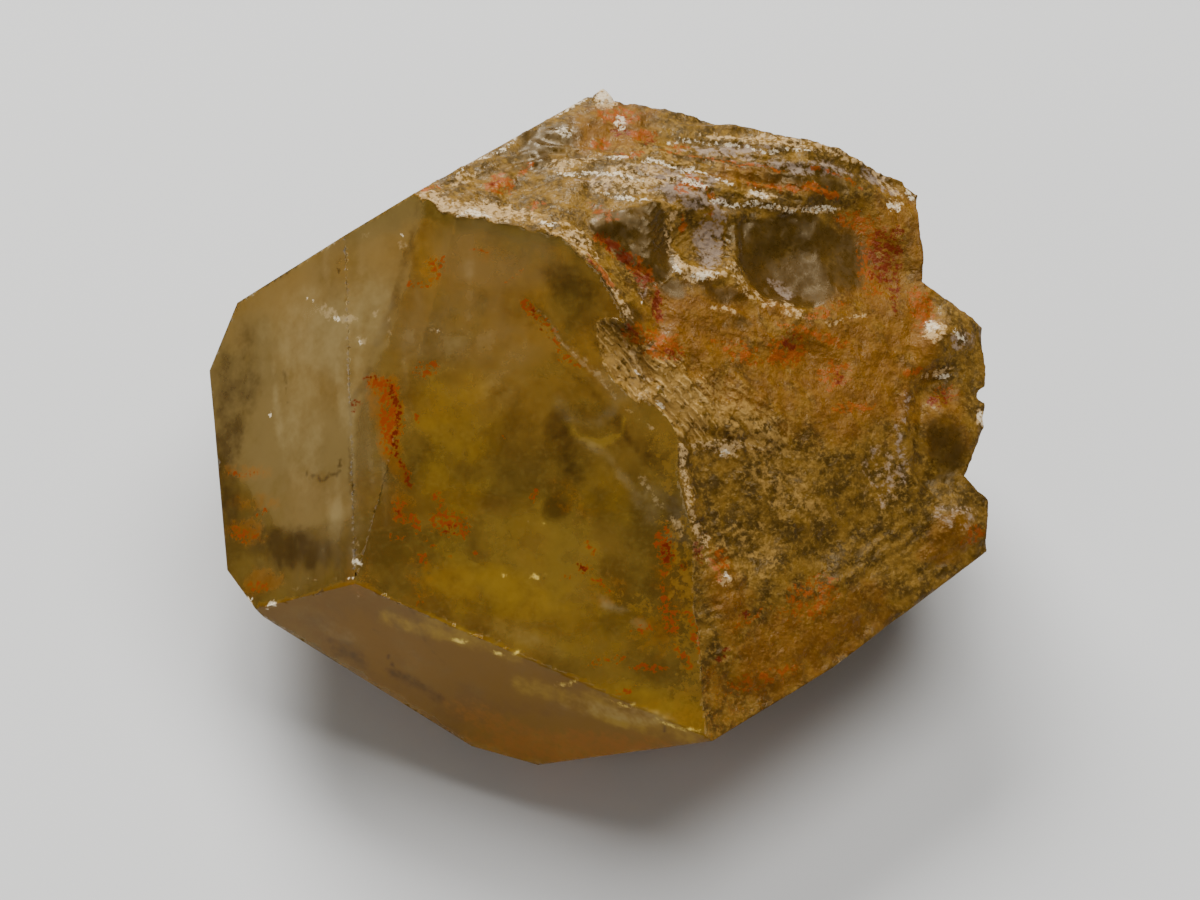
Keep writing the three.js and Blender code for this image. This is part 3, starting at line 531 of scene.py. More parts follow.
breakMarks = {
    "warm": [
        ((11.5, 3.6), (4.5, 3.8), 0, 0.9), ((4.5, 5.4), (3.2, 2.0), -20, 0.9),
        ((12.6, 8.5), (1.8, 3.2), 0, 1), ((9.0, -8.6), (5.4, 2.2), 28, 0.8),
        ((14.6, 5.6), (1.2, 2.4), 10, 1), ((0.6, 14.6), (2.6, 1.8), 0, 0.7),
        ((5.6, -6.6), (1.4, 2.6), 20, 0.6), ((15.6, 1.2), (1.4, 2.4), 0, 0.6),
        ((7.2, 12.2), (4.0, 0.8), -4, 0.6), ((6.0, 6.6), (2.6, 1.2), -10, 0.6),
        ((15.8, -4.0), (1.8, 1.2), 30, 0.8),
    ],
    # whitish frosted places of the break, partly painted highlight where the top band, the ledges and the
    # knob catch the light
    "chalk": [
        ((-5.5, 10.6), (3.4, 0.55), -5, 0.8), ((-7.6, 11.0), (0.9, 0.8), 0, 0.8),
        ((-1.0, 9.2), (1.4, 0.5), -36, 0.7), ((1.6, 12.2), (2.2, 0.9), 0, 0.55),
        ((7.2, 11.5), (0.9, 0.3), 0, 0.8), ((5.6, -0.1), (0.7, 0.4), 0, 0.9),
        ((5.5, 0.2), (2.5, 0.3), 0, 0.4), ((15.2, 5.4), (0.6, 0.5), 0, 0.9),
        ((15.2, 3.5), (1.0, 0.2), 14, 0.7), ((17.2, 1.4), (0.3, 0.4), 0, 0.9),
        ((13.5, 11.2), (0.5, 0.24), -30, 1), ((0.2, 16), (0.7, 0.6), 0, 0.9),
        ((4.4, 7.95), (1.3, 0.2), -6, 0.8), ((-3.0, 15.0), (3.6, 0.2), 30, 0.6),
        ((0.4, 11.8), (1.6, 0.4), -10, 0.5), ((9.4, 10.9), (2.6, 0.16), 4, 0.75),
        ((5.6, -5.8), (0.5, 0.3), 0, 0.5), ((-6.0, 12.2), (1.0, 0.3), 30, 0.5),
        ((-1.2, 12.9), (1.6, 0.4), 10, 0.5), ((8, 14), (4, 0.3), -6, 0.6),
        ((5.6, 6.2), (1.0, 0.14), -14, 0.6),
    ],
    # painted highlights: bright glitter on the lit top band, the peak, the ledges and the knobs
    "spark": [
        ((0.2, 16.0), (0.5, 0.5), 0, 1), ((0.9, 14.9), (0.3, 0.4), 0, 0.8),
        ((-1.4, 15.6), (1.6, 0.12), 32, 0.7), ((-5.0, 13.4), (2.6, 0.12), 31, 0.6),
        ((-7.9, 10.7), (0.6, 0.24), -20, 0.9), ((-5.6, 10.4), (0.9, 0.2), -8, 0.8),
        ((13.5, 11.2), (0.5, 0.2), -30, 1), ((14.2, 11.7), (0.2, 0.4), 20, 0.8),
        ((17.3, 1.4), (0.24, 0.3), 0, 1), ((5.6, -0.1), (0.35, 0.22), 0, 0.9),
        ((2.8, 12.8), (1.2, 0.14), -12, 0.8), ((1.2, 11.4), (1.4, 0.14), -6, 0.8),
        ((4.2, 12.0), (1.0, 0.14), -26, 0.8), ((7.2, 11.6), (0.4, 0.2), 0, 0.9),
        ((15.1, 5.6), (0.5, 0.3), 0, 0.8), ((4.6, 7.7), (0.8, 0.14), 0, 0.8),
        ((3.4, 8.1), (0.3, 0.14), -40, 0.9), ((15.6, 3.4), (0.5, 0.14), 10, 0.8),
        ((9.4, 10.9), (1.6, 0.1), 4, 0.7), ((5.6, -5.6), (0.14, 0.3), 20, 0.8),
        ((16.4, 5.2), (0.5, 0.2), -40, 0.7), ((-2.4, 10.1), (0.5, 0.14), -20, 0.8),
        ((0.8, 13.2), (0.7, 0.14), 10, 0.7), ((-1.6, 14.4), (0.4, 0.3), 0, 0.5),
        ((1.9, 6.7), (0.1, 0.1), 0, 0.9), ((2.7, 2.0), (0.5, 0.1), -40, 0.7),
        ((1.8, 3.2), (0.6, 0.1), -46, 0.7),
    ],
    # lavender-grey tone of the top band and the scoops, partly a painted sheen of the light they catch
    "lavender": [
        ((4.9, 9.4), (0.9, 1.5), -10, 0.95), ((4.0, 11.4), (2.4, 0.7), -16, 0.7),
        ((3.2, 12.4), (3.0, 0.5), -8, 0.6), ((9.2, 12.9), (3.4, 0.5), -5, 0.6),
        ((-0.2, 12.0), (1.6, 0.6), 0, 0.4), ((5.6, 13.6), (2.6, 0.4), 0, 0.8),
        ((16.0, -3.0), (1.4, 0.9), 0, 0.4), ((8.3, 7.2), (1.0, 0.5), -30, 0.6),
        ((12.6, -1.2), (1.4, 2.0), 0, 0.3), ((1.8, 7.0), (0.5, 0.4), 0, 0.4),
        ((12.8, 12.3), (1.6, 0.4), -34, 0.6), ((16.4, 5.0), (1.0, 0.6), 0, 0.5),
    ],
    "rust": [
        ((0.4, 9.2), (1.0, 0.5), -36, 1), ((1.7, 8.1), (1.2, 0.55), -44, 1),
        ((0.0, 7.8), (1.3, 0.22), -50, 0.9), ((2.6, 6.3), (0.3, 1.1), 10, 0.9),
        ((1.9, 5.1), (1.5, 0.5), -12, 0.85), ((8.4, 4.4), (1.2, 0.8), 0, 0.85),
        ((12.6, 8.8), (1.2, 2.3), 0, 0.6), ((-4.5, 11.9), (0.9, 0.7), 0, 0.9),
        ((2.8, 4.5), (1.2, 0.8), -10, 0.85), ((0.5, 15.1), (0.9, 0.4), -30, 0.9),
        ((1.9, 14.2), (0.9, 0.4), 0, 0.85), ((0.0, 13.8), (0.7, 0.4), 20, 0.8),
        ((1.3, 13.3), (1.0, 0.25), 0, 0.75), ((3.5, 13.9), (0.7, 0.25), 0, 0.7),
        ((-3.4, 12.6), (0.5, 0.3), 40, 0.7), ((3.9, 11.7), (0.8, 0.4), -20, 0.8),
        ((9.0, 11.9), (1.6, 0.3), 0, 0.7), ((14.2, 3.6), (0.5, 0.3), 20, 0.9),
        ((11.4, 1.9), (1.2, 0.3), 5, 0.7), ((0.2, 10.6), (1.0, 0.4), -20, 0.5),
        ((3.6, 10.2), (0.24, 0.6), 0, 0.8), ((14.6, 6.4), (0.8, 1.2), 0, 0.8),
        ((9.6, 5.2), (2.2, 0.4), -15, 0.6), ((6.8, -7.4), (1.4, 0.3), 30, 0.5),
        ((5.2, -5.0), (0.6, 0.9), 0, 0.7), ((-7.8, 11.8), (0.8, 0.4), 0, 0.6),
        ((0.9, 15.2), (1.2, 0.6), 0, 0.8), ((9.4, -6.6), (2.0, 1.2), 34, 0.5),
        ((7.0, -10.2), (2.6, 0.6), 18, 0.5), ((16.9, -3.8), (0.9, 0.5), 30, 0.7),
        ((4.9, 10.6), (0.3, 0.3), 0, 0.6), ((-2.9, 10.9), (0.6, 0.3), 0, 0.5),
        ((10.6, 3.4), (1.0, 1.0), 0, 0.6), ((6.2, 4.4), (1.6, 0.6), -20, 0.55),
        ((11.6, 10.4), (1.4, 0.5), -20, 0.7), ((15.6, 2.6), (1.0, 0.4), 20, 0.6),
        ((10.2, 6.2), (1.4, 0.5), 20, 0.55),
    ],
    "deepRed": [
        ((0.9, 8.9), (1.5, 0.36), -38, 1), ((1.9, 7.7), (0.6, 0.5), -38, 0.9),
        ((12.9, 8.8), (0.7, 1.9), 0, 0.75), ((0.9, 14.4), (0.5, 0.3), 0, 0.9),
        ((2.2, 14.0), (0.4, 0.2), 0, 0.9), ((3.2, 4.2), (0.6, 0.3), -20, 0.7),
        ((2.6, 6.5), (0.3, 0.9), 0, 0.9), ((-4.7, 12.1), (0.3, 0.3), 0, 0.6),
        ((4.3, -4.6), (0.4, 0.7), 0, 0.7), ((6.3, -7.2), (0.3, 0.24), 0, 0.9),
        ((5.4, -9.0), (0.6, 0.2), 50, 0.8), ((15.4, 2.3), (0.9, 0.4), 0, 0.6),
        ((8.6, 4.9), (0.6, 0.6), 0, 0.6), ((1.4, 5.3), (0.7, 0.2), -20, 0.7),
        ((10.8, 3.2), (0.5, 0.5), 0, 0.5), ((-0.3, 8.0), (0.8, 0.14), -50, 0.8),
    ],
    "glassy": [
        ((0.6, 10.0), (1.5, 0.7), -20, 0.8), ((10.0, 8.6), (3.0, 1.9), 0, 0.9),
        ((-2.5, 13.7), (2.0, 1.2), 30, 0.8), ((3.2, 7.2), (0.8, 0.6), 0, 0.8),
        ((15.6, 0.0), (1.2, 2.0), 0, 0.9), ((7.0, 8.4), (0.8, 1.2), 10, 0.7),
        ((12.6, 12.6), (1.5, 0.5), -30, 0.5), ((1.2, 5.9), (1.0, 0.9), 0, 0.8),
        ((6.0, 5.6), (1.0, 0.6), 0, 0.5), ((9.6, 12.3), (2.6, 0.7), -6, 0.8),
        ((2.2, 4.7), (0.3, 0.24), 0, 0.9), ((5.6, 7.0), (2.0, 0.5), -10, 0.6),
        ((-3.6, 12.9), (1.6, 0.6), 30, 0.6),
    ],
    "tan": [
        ((0.6, 4.0), (3.8, 1.2), -50, 0.8), ((3.0, 2.6), (3.4, 1.5), -47, 0.9),
        ((6.5, 1.2), (4.2, 1.5), -38, 0.65), ((8.5, -2.0), (3.2, 1.4), -30, 0.5),
        ((-1.6, 9.2), (1.6, 0.5), -30, 0.7), ((6.5, -4.5), (2.6, 2.2), 0, 0.35),
        ((-3.0, 10.4), (2.4, 0.5), -10, 0.6), ((12.8, -1.6), (1.6, 2.6), 0, 0.35),
        ((16.2, -3.2), (1.6, 0.8), 0, 0.5), ((4.2, 13.2), (5.0, 0.7), -6, 0.5),
        ((2.8, 10.6), (0.8, 1.2), 10, 0.6),
    ],
}
breakLines = {
    # whitish frosted rims of the steps and scoops, partly painted highlight where they catch the light
    "chalk": [
        ([(3.3, 8.6), (3.7, 8.05), (4.6, 7.7), (5.4, 7.85)], 0.28, 0.8),
        ([(5.9, 8.2), (6.4, 7.1), (7.4, 6.5), (9.0, 6.2)], 0.45, 0.45),
        ([(-2.6, 9.8), (-0.7, 8.6), (0.6, 7.0), (1.3, 5.9)], 0.34, 0.62),
        ([(1.9, 2.4), (2.6, 0.9), (3.6, -0.1), (3.9, -2.7), (4.7, -4.1)], 0.34, 0.6),
        ([(4.6, 14.2), (8.4, 14.0), (12.2, 13.2), (13.8, 11.6)], 0.25, 0.6),
        ([(1.0, 5.0), (1.6, 3.8), (2.3, 3.0)], 0.16, 0.6),
        ([(1.6, -1.4), (3.0, -2.8), (4.2, -4.2), (5.4, -5.6)], 0.3, 0.55),
        ([(3.2, 10.6), (3.0, 9.6), (3.3, 8.7)], 0.3, 0.5),
        ([(9.0, 6.2), (10.4, 5.7), (12.0, 6.1)], 0.3, 0.35),
    ],
    # lavender-grey tone with painted sheen along these rims
    "lavender": [
        ([(5.4, 11.0), (5.2, 9.6), (4.8, 8.2)], 0.5, 0.7),
        ([(13.8, 2.4), (13.5, 0.6), (13.6, -1.4)], 0.3, 0.5),
    ],
    "deepRed": [
        ([(13.6, 10.0), (13.4, 8.0), (13.5, 6.4)], 0.4, 0.6),
    ],
    "rust": [
        ([(2.6, 13.6), (5.4, 13.1), (8.2, 12.7)], 0.16, 0.7),
        ([(6.6, 12.1), (8.8, 11.9), (10.8, 11.6)], 0.22, 0.85), ([(3.9, 12.3), (5.2, 11.3)], 0.24, 0.8),
        ([(9.6, 12.9), (12.0, 12.1)], 0.14, 0.6),
    ],
    # painted highlights along the ledges of the top band
    "spark": [
        ([(2.2, 13.0), (4.0, 12.6), (6.0, 12.0)], 0.12, 0.75),
        ([(5.0, 11.2), (7.4, 11.0), (10.6, 10.9)], 0.14, 0.8),
        ([(-2.0, 12.4), (0.4, 12.5), (2.0, 12.0)], 0.12, 0.7),
        ([(3.0, 14.0), (6.0, 13.9), (9.6, 13.5)], 0.1, 0.7),
    ],
    "glassy": [
        ([(3.4, 13.3), (6.6, 12.9), (9.6, 12.4)], 0.22, 0.9),
        ([(1.0, 12.8), (3.0, 12.2), (5.4, 11.6)], 0.18, 0.8), ([(-1.4, 13.2), (0.2, 13.0)], 0.2, 0.8),
        ([(6.0, 11.4), (9.0, 11.3)], 0.16, 0.8),
    ],
}
breakAreas = {
    "glassy": [
        ([(6.0, 9.9), (9.6, 10.6), (10.8, 9.6), (10.4, 7.2), (9.0, 6.5), (7.2, 7.2)], 0.5, 0.95),
        ([(-0.6, 10.2), (2.6, 10.8), (3.0, 9.2), (3.4, 8.2), (2.6, 7.6), (0.6, 9.0)], 0.3, 0.9),
    ],
    "warm": [
        ([(2.6, 6.0), (8.0, 6.4), (13.6, 10.6), (14.0, 4.4), (11.0, 1.4), (6.0, 3.4)], 2.5, 0.6),
    ],
}


markBends = [(1.1, 0.22), (0.35, 0.1)]    # mm, size and reach of the noises that bend every mark


def markValues(marks, lines, areas, places, seed):
    u, v = places[:, 0].copy(), places[:, 1].copy()
    for number, (size, reach) in enumerate(markBends):
        u += reach * noiseAt(places, size, seed + number)
        v += reach * noiseAt(places, size, seed + number + len(markBends))
    values = np.zeros(len(places))
    for at, radii, turn, strength in marks:
        values = np.maximum(values, strength * patchShape(u, v, at, radii, turn))
    for line, width, strength in lines:
        values = np.maximum(values, strength * lineShape(u, v, line, width))
    for outline, soft, strength in areas:
        values = np.maximum(values, strength * areaShape(u, v, outline, soft))
    return values


# pale upright streaks of haze in the left bevel and shoulder
streak = {
    "wide": 0.45,         # mm
    "long": 4.5,
    "lean": 0.06,         # mm across for each mm up
    "strength": 0.6,
    "cloud": 2.6,         # mm, size of the soft clouds between them
    "cloudStrength": 0.2,
    "zones": [((-12.0, 2.5), (4.2, 9.0), 4, 1.0), ((-6.0, 6.0), (4, 4), 0, 0.6)],
}


def streaks(places):
    u, v = places[:, 0], places[:, 1]
    zone = np.zeros(len(places))
    for at, radii, turn, strength in streak["zones"]:
        zone = np.maximum(zone, strength * patchShape(u, v, at, radii, turn))
    level = np.full(len(places), 2.0)
    drawn = np.stack([(u + streak["lean"] * v) / streak["wide"], v / streak["long"], level], 1)
    lines = streak["strength"] * ease(-0.1, 0.6, noiseAt(drawn, 1, 31))
    clouds = streak["cloudStrength"] * ease(-0.3, 0.6, noiseAt(places, streak["cloud"], 33))
    return zone * (lines + clouds)


# the sides that the photo doesn't show get the same kinds of marks, scattered: their size in mm, and the
# noise at which they start and are full
# the painted glow, glints, highlights, sheen and shading are scattered there too
hiddenMarks = {
    "grey": (5.0, 0.1, 0.6), "gold": (6.0, 0.0, 0.8), "veil": (2.2, 0.35, 0.75), "dark": (3.4, 0.15, 0.7),
    "haze": (3.6, 0.0, 0.7), "warm": (4.0, 0.1, 0.6), "glow": (4.0, 0.2, 0.8), "amber": (3.4, 0.2, 0.8),
    "shoulder": (7.0, 0.2, 0.9), "honey": (5.0, 0.0, 0.8), "sand": (3.0, 0.3, 0.9),
    "spark": (1.0, 0.75, 0.9), "glint": (1.0, 0.8, 0.9), "rust": (2.6, 0.25, 0.6),
    "chalk": (2.4, 0.3, 0.9), "lavender": (3.0, 0.3, 0.7), "deepRed": (2.0, 0.3, 0.6),
    "glassy": (3.5, 0.05, 0.4), "tan": (3.0, 0.05, 0.5),
}
hiddenStrength = 0.8
frayed = (0.7, 0.25)    # mm, size and share of the finer noise at these marks' edges
borderShare = 0.34      # a point on the border counts to the growth faces if they hold more of its facets
onFlats = flatShare > borderShare

names = sorted({name for kind in (flatMarks, flatLines, flatAreas, breakMarks) for name in kind})
kinds = (
    (onFlats, flatMarks, flatLines, flatAreas),
    (~onFlats, breakMarks, breakLines, breakAreas),
)
for number, name in enumerate(names):
    size, low, high = hiddenMarks[name]
    scattered = noiseAt(places, size, 40 + number) + frayed[1] * noiseAt(places, frayed[0], 60 + number)
    hidden = hiddenStrength * ease(low, high, scattered)
    values = np.zeros(len(co))
    for where, marks, lines, areas in kinds:
        drawn = [kind.get(name, []) for kind in (marks, lines, areas)]
        shown = markValues(*drawn, places[where], 5 * number)
        if name == "haze" and marks is flatMarks:
            shown = np.maximum(shown, streaks(places[where]))
        values[where] = shown * inView[where] + hidden[where] * (1 - inView[where])
    layer = crystalMesh.attributes.new(name, "FLOAT", "POINT")
    layer.data.foreach_set("value", values)
for name, values in zip(("linePhase", "lineShare"), linesOn(places)):
    layer = crystalMesh.attributes.new(name, "FLOAT", "POINT")
    layer.data.foreach_set("value", values)
layer = crystalMesh.attributes.new("broken", "FLOAT", "FACE")
layer.data.foreach_set("value", 1.0 - grownFaces)

crystal = bpy.data.objects.new("citrineCrystal", crystalMesh)
bpy.context.scene.collection.objects.link(crystal)
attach(crystal, "root")
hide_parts("citrine_crystal")

print("stage: citrine")

citrine = {
    "ior": 1.544,
    "specular": 0.2,
    "specularTint": (1.0, 0.80, 0.48, 1),
    "absorbColor": (0.88, 0.66, 0.10, 1),
    "absorbDensity": 150,
    # dark and light olive and the grain they mottle with, then the paler specks in them and their share
    "flatBase": {
        "colors": [(0.18, 0.100, 0.010, 1), (0.30, 0.178, 0.022, 1)],
        "mottle": 320, "detail": 4.0, "specks": (0.36, 0.24, 0.05, 1), "speckShare": 0.3,
    },
    "breakBase": {
        "colors": [(0.062, 0.031, 0.002, 1), (0.205, 0.104, 0.009, 1)],
        "mottle": 1100, "detail": 5.0, "specks": (0.31, 0.170, 0.026, 1), "speckShare": 0.6,
    },
    "mottleRange": (0.38, 0.64),    # the noise that is all dark and all light
    "speckGrain": 5200,     # grains per m, as in the lists of stains
    "speckRange": (0.5, 0.66),
    "raggedness": 2.4,
    "tornFrom": 0.95,       # a stain more ragged than this ends sharply, and the others fade out
    "tornAt": 0.3,          # how far into its mark it ends
    "flatClear": 0.62,      # share of light that goes into the stone at a growth face
    "breakClear": 0.22,
    # grain of the roughness, its low and high noise, and the roughness at each
    "flatRough": (700, 0.3, 0.75, 0.105, 0.225),
    "breakRough": (2600, 0.35, 0.7, 0.341, 0.806),
    "glassyRough": 0.7,     # share of that roughness that a glassy place keeps
    # painted highlight: the tear lines' crests are painted paler, as if they catch the light
    "crestHighlightColor": (0.52, 0.32, 0.10, 1),
    "crestHighlight": 0.8,        # how strongly the tear lines' crests take that colour
    "lineCrests": (0.22, 0.5),
    "lineBend": (1500, 1.1),          # grain and reach of the noise that bends the tear lines
    "lineBreaks": (1700, 0.36, 0.58),
    "sandGrain": 4200,
    "lineRelief": 1.8,      # height of the tear lines next to the sand's
    "bumpStrength": 0.6,
    "bumpHeight": 0.12,     # mm
}
# marks over the base colour, in order: mask, colour, grains per m, how ragged, amount, how much they close
# most are the stone's own stains, veils and tones; the golden glow, glints, sparkles and parts of the
# greyer, paler, frosted and lavender-grey tones are painted light
flatCoats = [
    # greyer olive tone, partly painted reflection
    ("grey", (0.24, 0.160, 0.052, 1), 420, 0.6, 0.8, 0.2),
    # painted shading of the facet beside the window
    ("shoulder", (0.27, 0.182, 0.056, 1), 420, 0.6, 0.75, 0.3),
    ("gold", (0.34, 0.180, 0.006, 1), 420, 0.7, 0.7, 0.3),
    ("honey", (0.150, 0.064, 0.001, 1), 420, 0.5, 0.88, 0.9),
    # painted glow of light through the stone
    ("glow", (0.37, 0.228, 0.020, 1), 800, 0.8, 0.55, 0.3),
    ("dark", (0.050, 0.021, 0.001, 1), 800, 0.8, 0.75, 0.1),
    ("haze", (0.38, 0.29, 0.13, 1), 800, 0.6, 0.5, 0.35),
    ("amber", (0.27, 0.080, 0.002, 1), 2600, 0.9, 0.5, 0.6),
    ("sand", (0.190, 0.098, 0.010, 1), 2600, 1.9, 0.75, 0.7),
    ("veil", (0.48, 0.35, 0.18, 1), 2600, 1.2, 0.45, 0.6),
    ("rust", (0.205, 0.030, 0.001, 1), 5200, 2.4, 0.95, 0.9),
    ("deepRed", (0.11, 0.010, 0.001, 1), 5200, 1.9, 0.95, 0.9),
    # painted reflection: the bright golden glints
    ("glint", (0.90, 0.64, 0.12, 1), 5200, 0.9, 0.9, 0.9),
    # painted highlight: the pale bright points
    ("spark", (0.80, 0.68, 0.46, 1), 5200, 1.2, 0.9, 0.9),
]
breakCoats = [
    ("warm", (0.20, 0.068, 0.001, 1), 800, 0.9, 0.6, 0.1),
    ("tan", (0.33, 0.185, 0.043, 1), 2600, 1.4, 0.75, 0.5),
    ("glassy", (0.060, 0.030, 0.002, 1), 800, 0.9, 0.88, -0.3),
    # lavender-grey tone and painted sheen
    ("lavender", (0.30, 0.22, 0.165, 1), 2600, 1.6, 0.75, 0.5),
    # whitish frost and painted highlight
    ("chalk", (0.54, 0.35, 0.150, 1), 3800, 2.0, 0.78, 0.8),
    ("rust", (0.235, 0.046, 0.001, 1), 3800, 1.8, 0.9, 0.9),
    ("deepRed", (0.11, 0.010, 0.001, 1), 3800, 1.7, 0.95, 0.9),
    # painted highlight: glitter on the break
    ("spark", (0.74, 0.62, 0.42, 1), 5200, 2.2, 0.8, 0.6),
]


def makeNode(tree, kind, **values):
    made = tree.nodes.new("ShaderNode" + kind)
    for name, value in values.items():
        if name in made.inputs:
            made.inputs[name].default_value = value
        else:
            setattr(made, name, value)
    return made


def link(tree, source, target):
    tree.links.new(source, target)


def math2(tree, operation, a, b):
    made = tree.nodes.new("ShaderNodeMath")
    made.operation = operation
    for socket, value in zip(made.inputs, (a, b)):
        if isinstance(value, (int, float)):
            socket.default_value = value
        else:
            link(tree, value, socket)
    return made.outputs[0]


def mapRange(tree, value, low, high, toLow, toHigh, smooth=True):
    made = tree.nodes.new("ShaderNodeMapRange")
    made.interpolation_type = "SMOOTHSTEP" if smooth else "LINEAR"
    link(tree, value, made.inputs[0])
    for socket, number in zip(made.inputs[1:5], (low, high, toLow, toHigh)):
        socket.default_value = number
    return made.outputs[0]


def mixColor(tree, factor, a, b):
    made = tree.nodes.new("ShaderNodeMix")
    made.data_type = "RGBA"
    for socket, value in zip((made.inputs[0], made.inputs[6], made.inputs[7]), (factor, a, b)):
        if isinstance(value, (tuple, float)):
            socket.default_value = value
        else:
            link(tree, value, socket)
    return made.outputs[2]


grains = {}    # noises made so far, because stains of the same grain share one


def grainNode(tree, where, scale, detail=3.0, roughness=0.6):
    key = (tree, scale, detail, roughness)
    if key not in grains:
        made = makeNode(tree, "TexNoise", Scale=scale, Detail=detail, Roughness=roughness)
        link(tree, where, made.inputs["Vector"])
        grains[key] = made.outputs["Fac"]
    return grains[key]


def maskOf(tree, name):
    return makeNode(tree, "Attribute", attribute_name=name).outputs["Fac"]


material = bpy.data.materials.new("citrine")
material.use_nodes = True
tree = material.node_tree
tree.nodes.clear()
where = makeNode(tree, "TexCoord").outputs["Object"]
broken = maskOf(tree, "broken")


def coated(base, coats):
    # base colour with its marks, stains and painted light alike, and how much the marks close the stone
    mottle = grainNode(tree, where, base["mottle"], base["detail"], 0.7)
    color = mixColor(tree, mapRange(tree, mottle, *citrine["mottleRange"], 0, 1), *base["colors"])
    speckGrain = grainNode(tree, where, citrine["speckGrain"])
    specks = mapRange(tree, speckGrain, *citrine["speckRange"], 0, base["speckShare"])
    color = mixColor(tree, specks, color, base["specks"])
    closed = 0.0
    for mask, tint, scale, ragged, amount, closes in coats:
        marked = maskOf(tree, mask)
        grain = math2(tree, "SUBTRACT", grainNode(tree, where, scale, roughness=0.7), 0.5)
        uneven = math2(tree, "MULTIPLY", grain, citrine["raggedness"] * ragged)
        ragsIn = math2(tree, "MULTIPLY", uneven, mapRange(tree, marked, 0.0, 0.3, 0, 1))
        fadesFrom = citrine["tornAt"] if ragged > citrine["tornFrom"] else 0.0
        factor = mapRange(tree, math2(tree, "ADD", marked, ragsIn), fadesFrom, 0.95, 0, amount)
        color = mixColor(tree, factor, color, tint)
        closed = math2(tree, "ADD", closed, math2(tree, "MULTIPLY", factor, closes))
    return color, closed


flatColor, flatClosed = coated(citrine["flatBase"], flatCoats)
breakColor, breakClosed = coated(citrine["breakBase"], breakCoats)
bendGrain, bendReach = citrine["lineBend"]
lineBend = math2(tree, "MULTIPLY", grainNode(tree, where, bendGrain, 2.0), bendReach)
lineHeight = math2(tree, "PINGPONG", math2(tree, "ADD", maskOf(tree, "linePhase"), lineBend), 0.5)
breaksGrain, gapsAt, wholeAt = citrine["lineBreaks"]
lineBreaks = mapRange(tree, grainNode(tree, where, breaksGrain, 2.0, 0.7), gapsAt, wholeAt, 0.0, 1)
lineShare = math2(tree, "MULTIPLY", maskOf(tree, "lineShare"), lineBreaks)
lineHeight = math2(tree, "MULTIPLY", lineHeight, lineShare)
noRust = math2(tree, "SUBTRACT", 1.0, maskOf(tree, "rust"))
# painted highlight on the tear lines' crests, left off the rust
lineCrests = mapRange(tree, lineHeight, *citrine["lineCrests"], 0, citrine["crestHighlight"])
crestHighlight = math2(tree, "MULTIPLY", lineCrests, noRust)
breakColor = mixColor(tree, crestHighlight, breakColor, citrine["crestHighlightColor"])
color = mixColor(tree, broken, flatColor, breakColor)


def opened(clear, closed):
    keep = mapRange(tree, closed, -1, 1, 2, 0, smooth=False)
    return math2(tree, "MULTIPLY", keep, clear)


def onEither(onFlat, onBreak):
    # one value on the growth faces, the other on the break
    made = makeNode(tree, "Mix", data_type="FLOAT")
    for socket, source in zip((made.inputs[0], made.inputs[2], made.inputs[3]), (broken, onFlat, onBreak)):
        link(tree, source, socket)
    return made.outputs[0]


def unevenRough(grain, low, high, smoothest, roughest):
    return mapRange(tree, grainNode(tree, where, grain), low, high, smoothest, roughest)


stoneClear = onEither(opened(citrine["flatClear"], flatClosed), opened(citrine["breakClear"], breakClosed))
glassy = maskOf(tree, "glassy")
polish = mapRange(tree, glassy, 0.1, 0.8, 1, citrine["glassyRough"])
breakRough = math2(tree, "MULTIPLY", unevenRough(*citrine["breakRough"]), polish)
stoneRough = onEither(unevenRough(*citrine["flatRough"]), breakRough)

surface = makeNode(tree, "BsdfPrincipled", IOR=citrine["ior"])
surface.inputs["Specular IOR Level"].default_value = citrine["specular"]
surface.inputs["Specular Tint"].default_value = citrine["specularTint"]
link(tree, color, surface.inputs["Base Color"])
link(tree, stoneRough, surface.inputs["Roughness"])
link(tree, stoneClear, surface.inputs["Transmission Weight"])

# fine relief of the break: pitted sand and tear lines
sandy = mapRange(tree, glassy, 0.1, 0.7, 1, 0.15)
sand = math2(tree, "MULTIPLY", grainNode(tree, where, citrine["sandGrain"], 2.0), sandy)
pits = math2(tree, "ADD", sand, math2(tree, "MULTIPLY", lineHeight, citrine["lineRelief"]))
bump = makeNode(tree, "Bump", Strength=citrine["bumpStrength"], Distance=citrine["bumpHeight"] * mm)
link(tree, math2(tree, "MULTIPLY", pits, broken), bump.inputs["Height"])
link(tree, bump.outputs[0], surface.inputs["Normal"])

output = makeNode(tree, "OutputMaterial")
link(tree, surface.outputs[0], output.inputs["Surface"])
absorb = makeNode(tree, "VolumeAbsorption", Color=citrine["absorbColor"], Density=citrine["absorbDensity"])
link(tree, absorb.outputs[0], output.inputs["Volume"])
crystalMesh.materials.append(material)

print("stage: veils inside the stone")

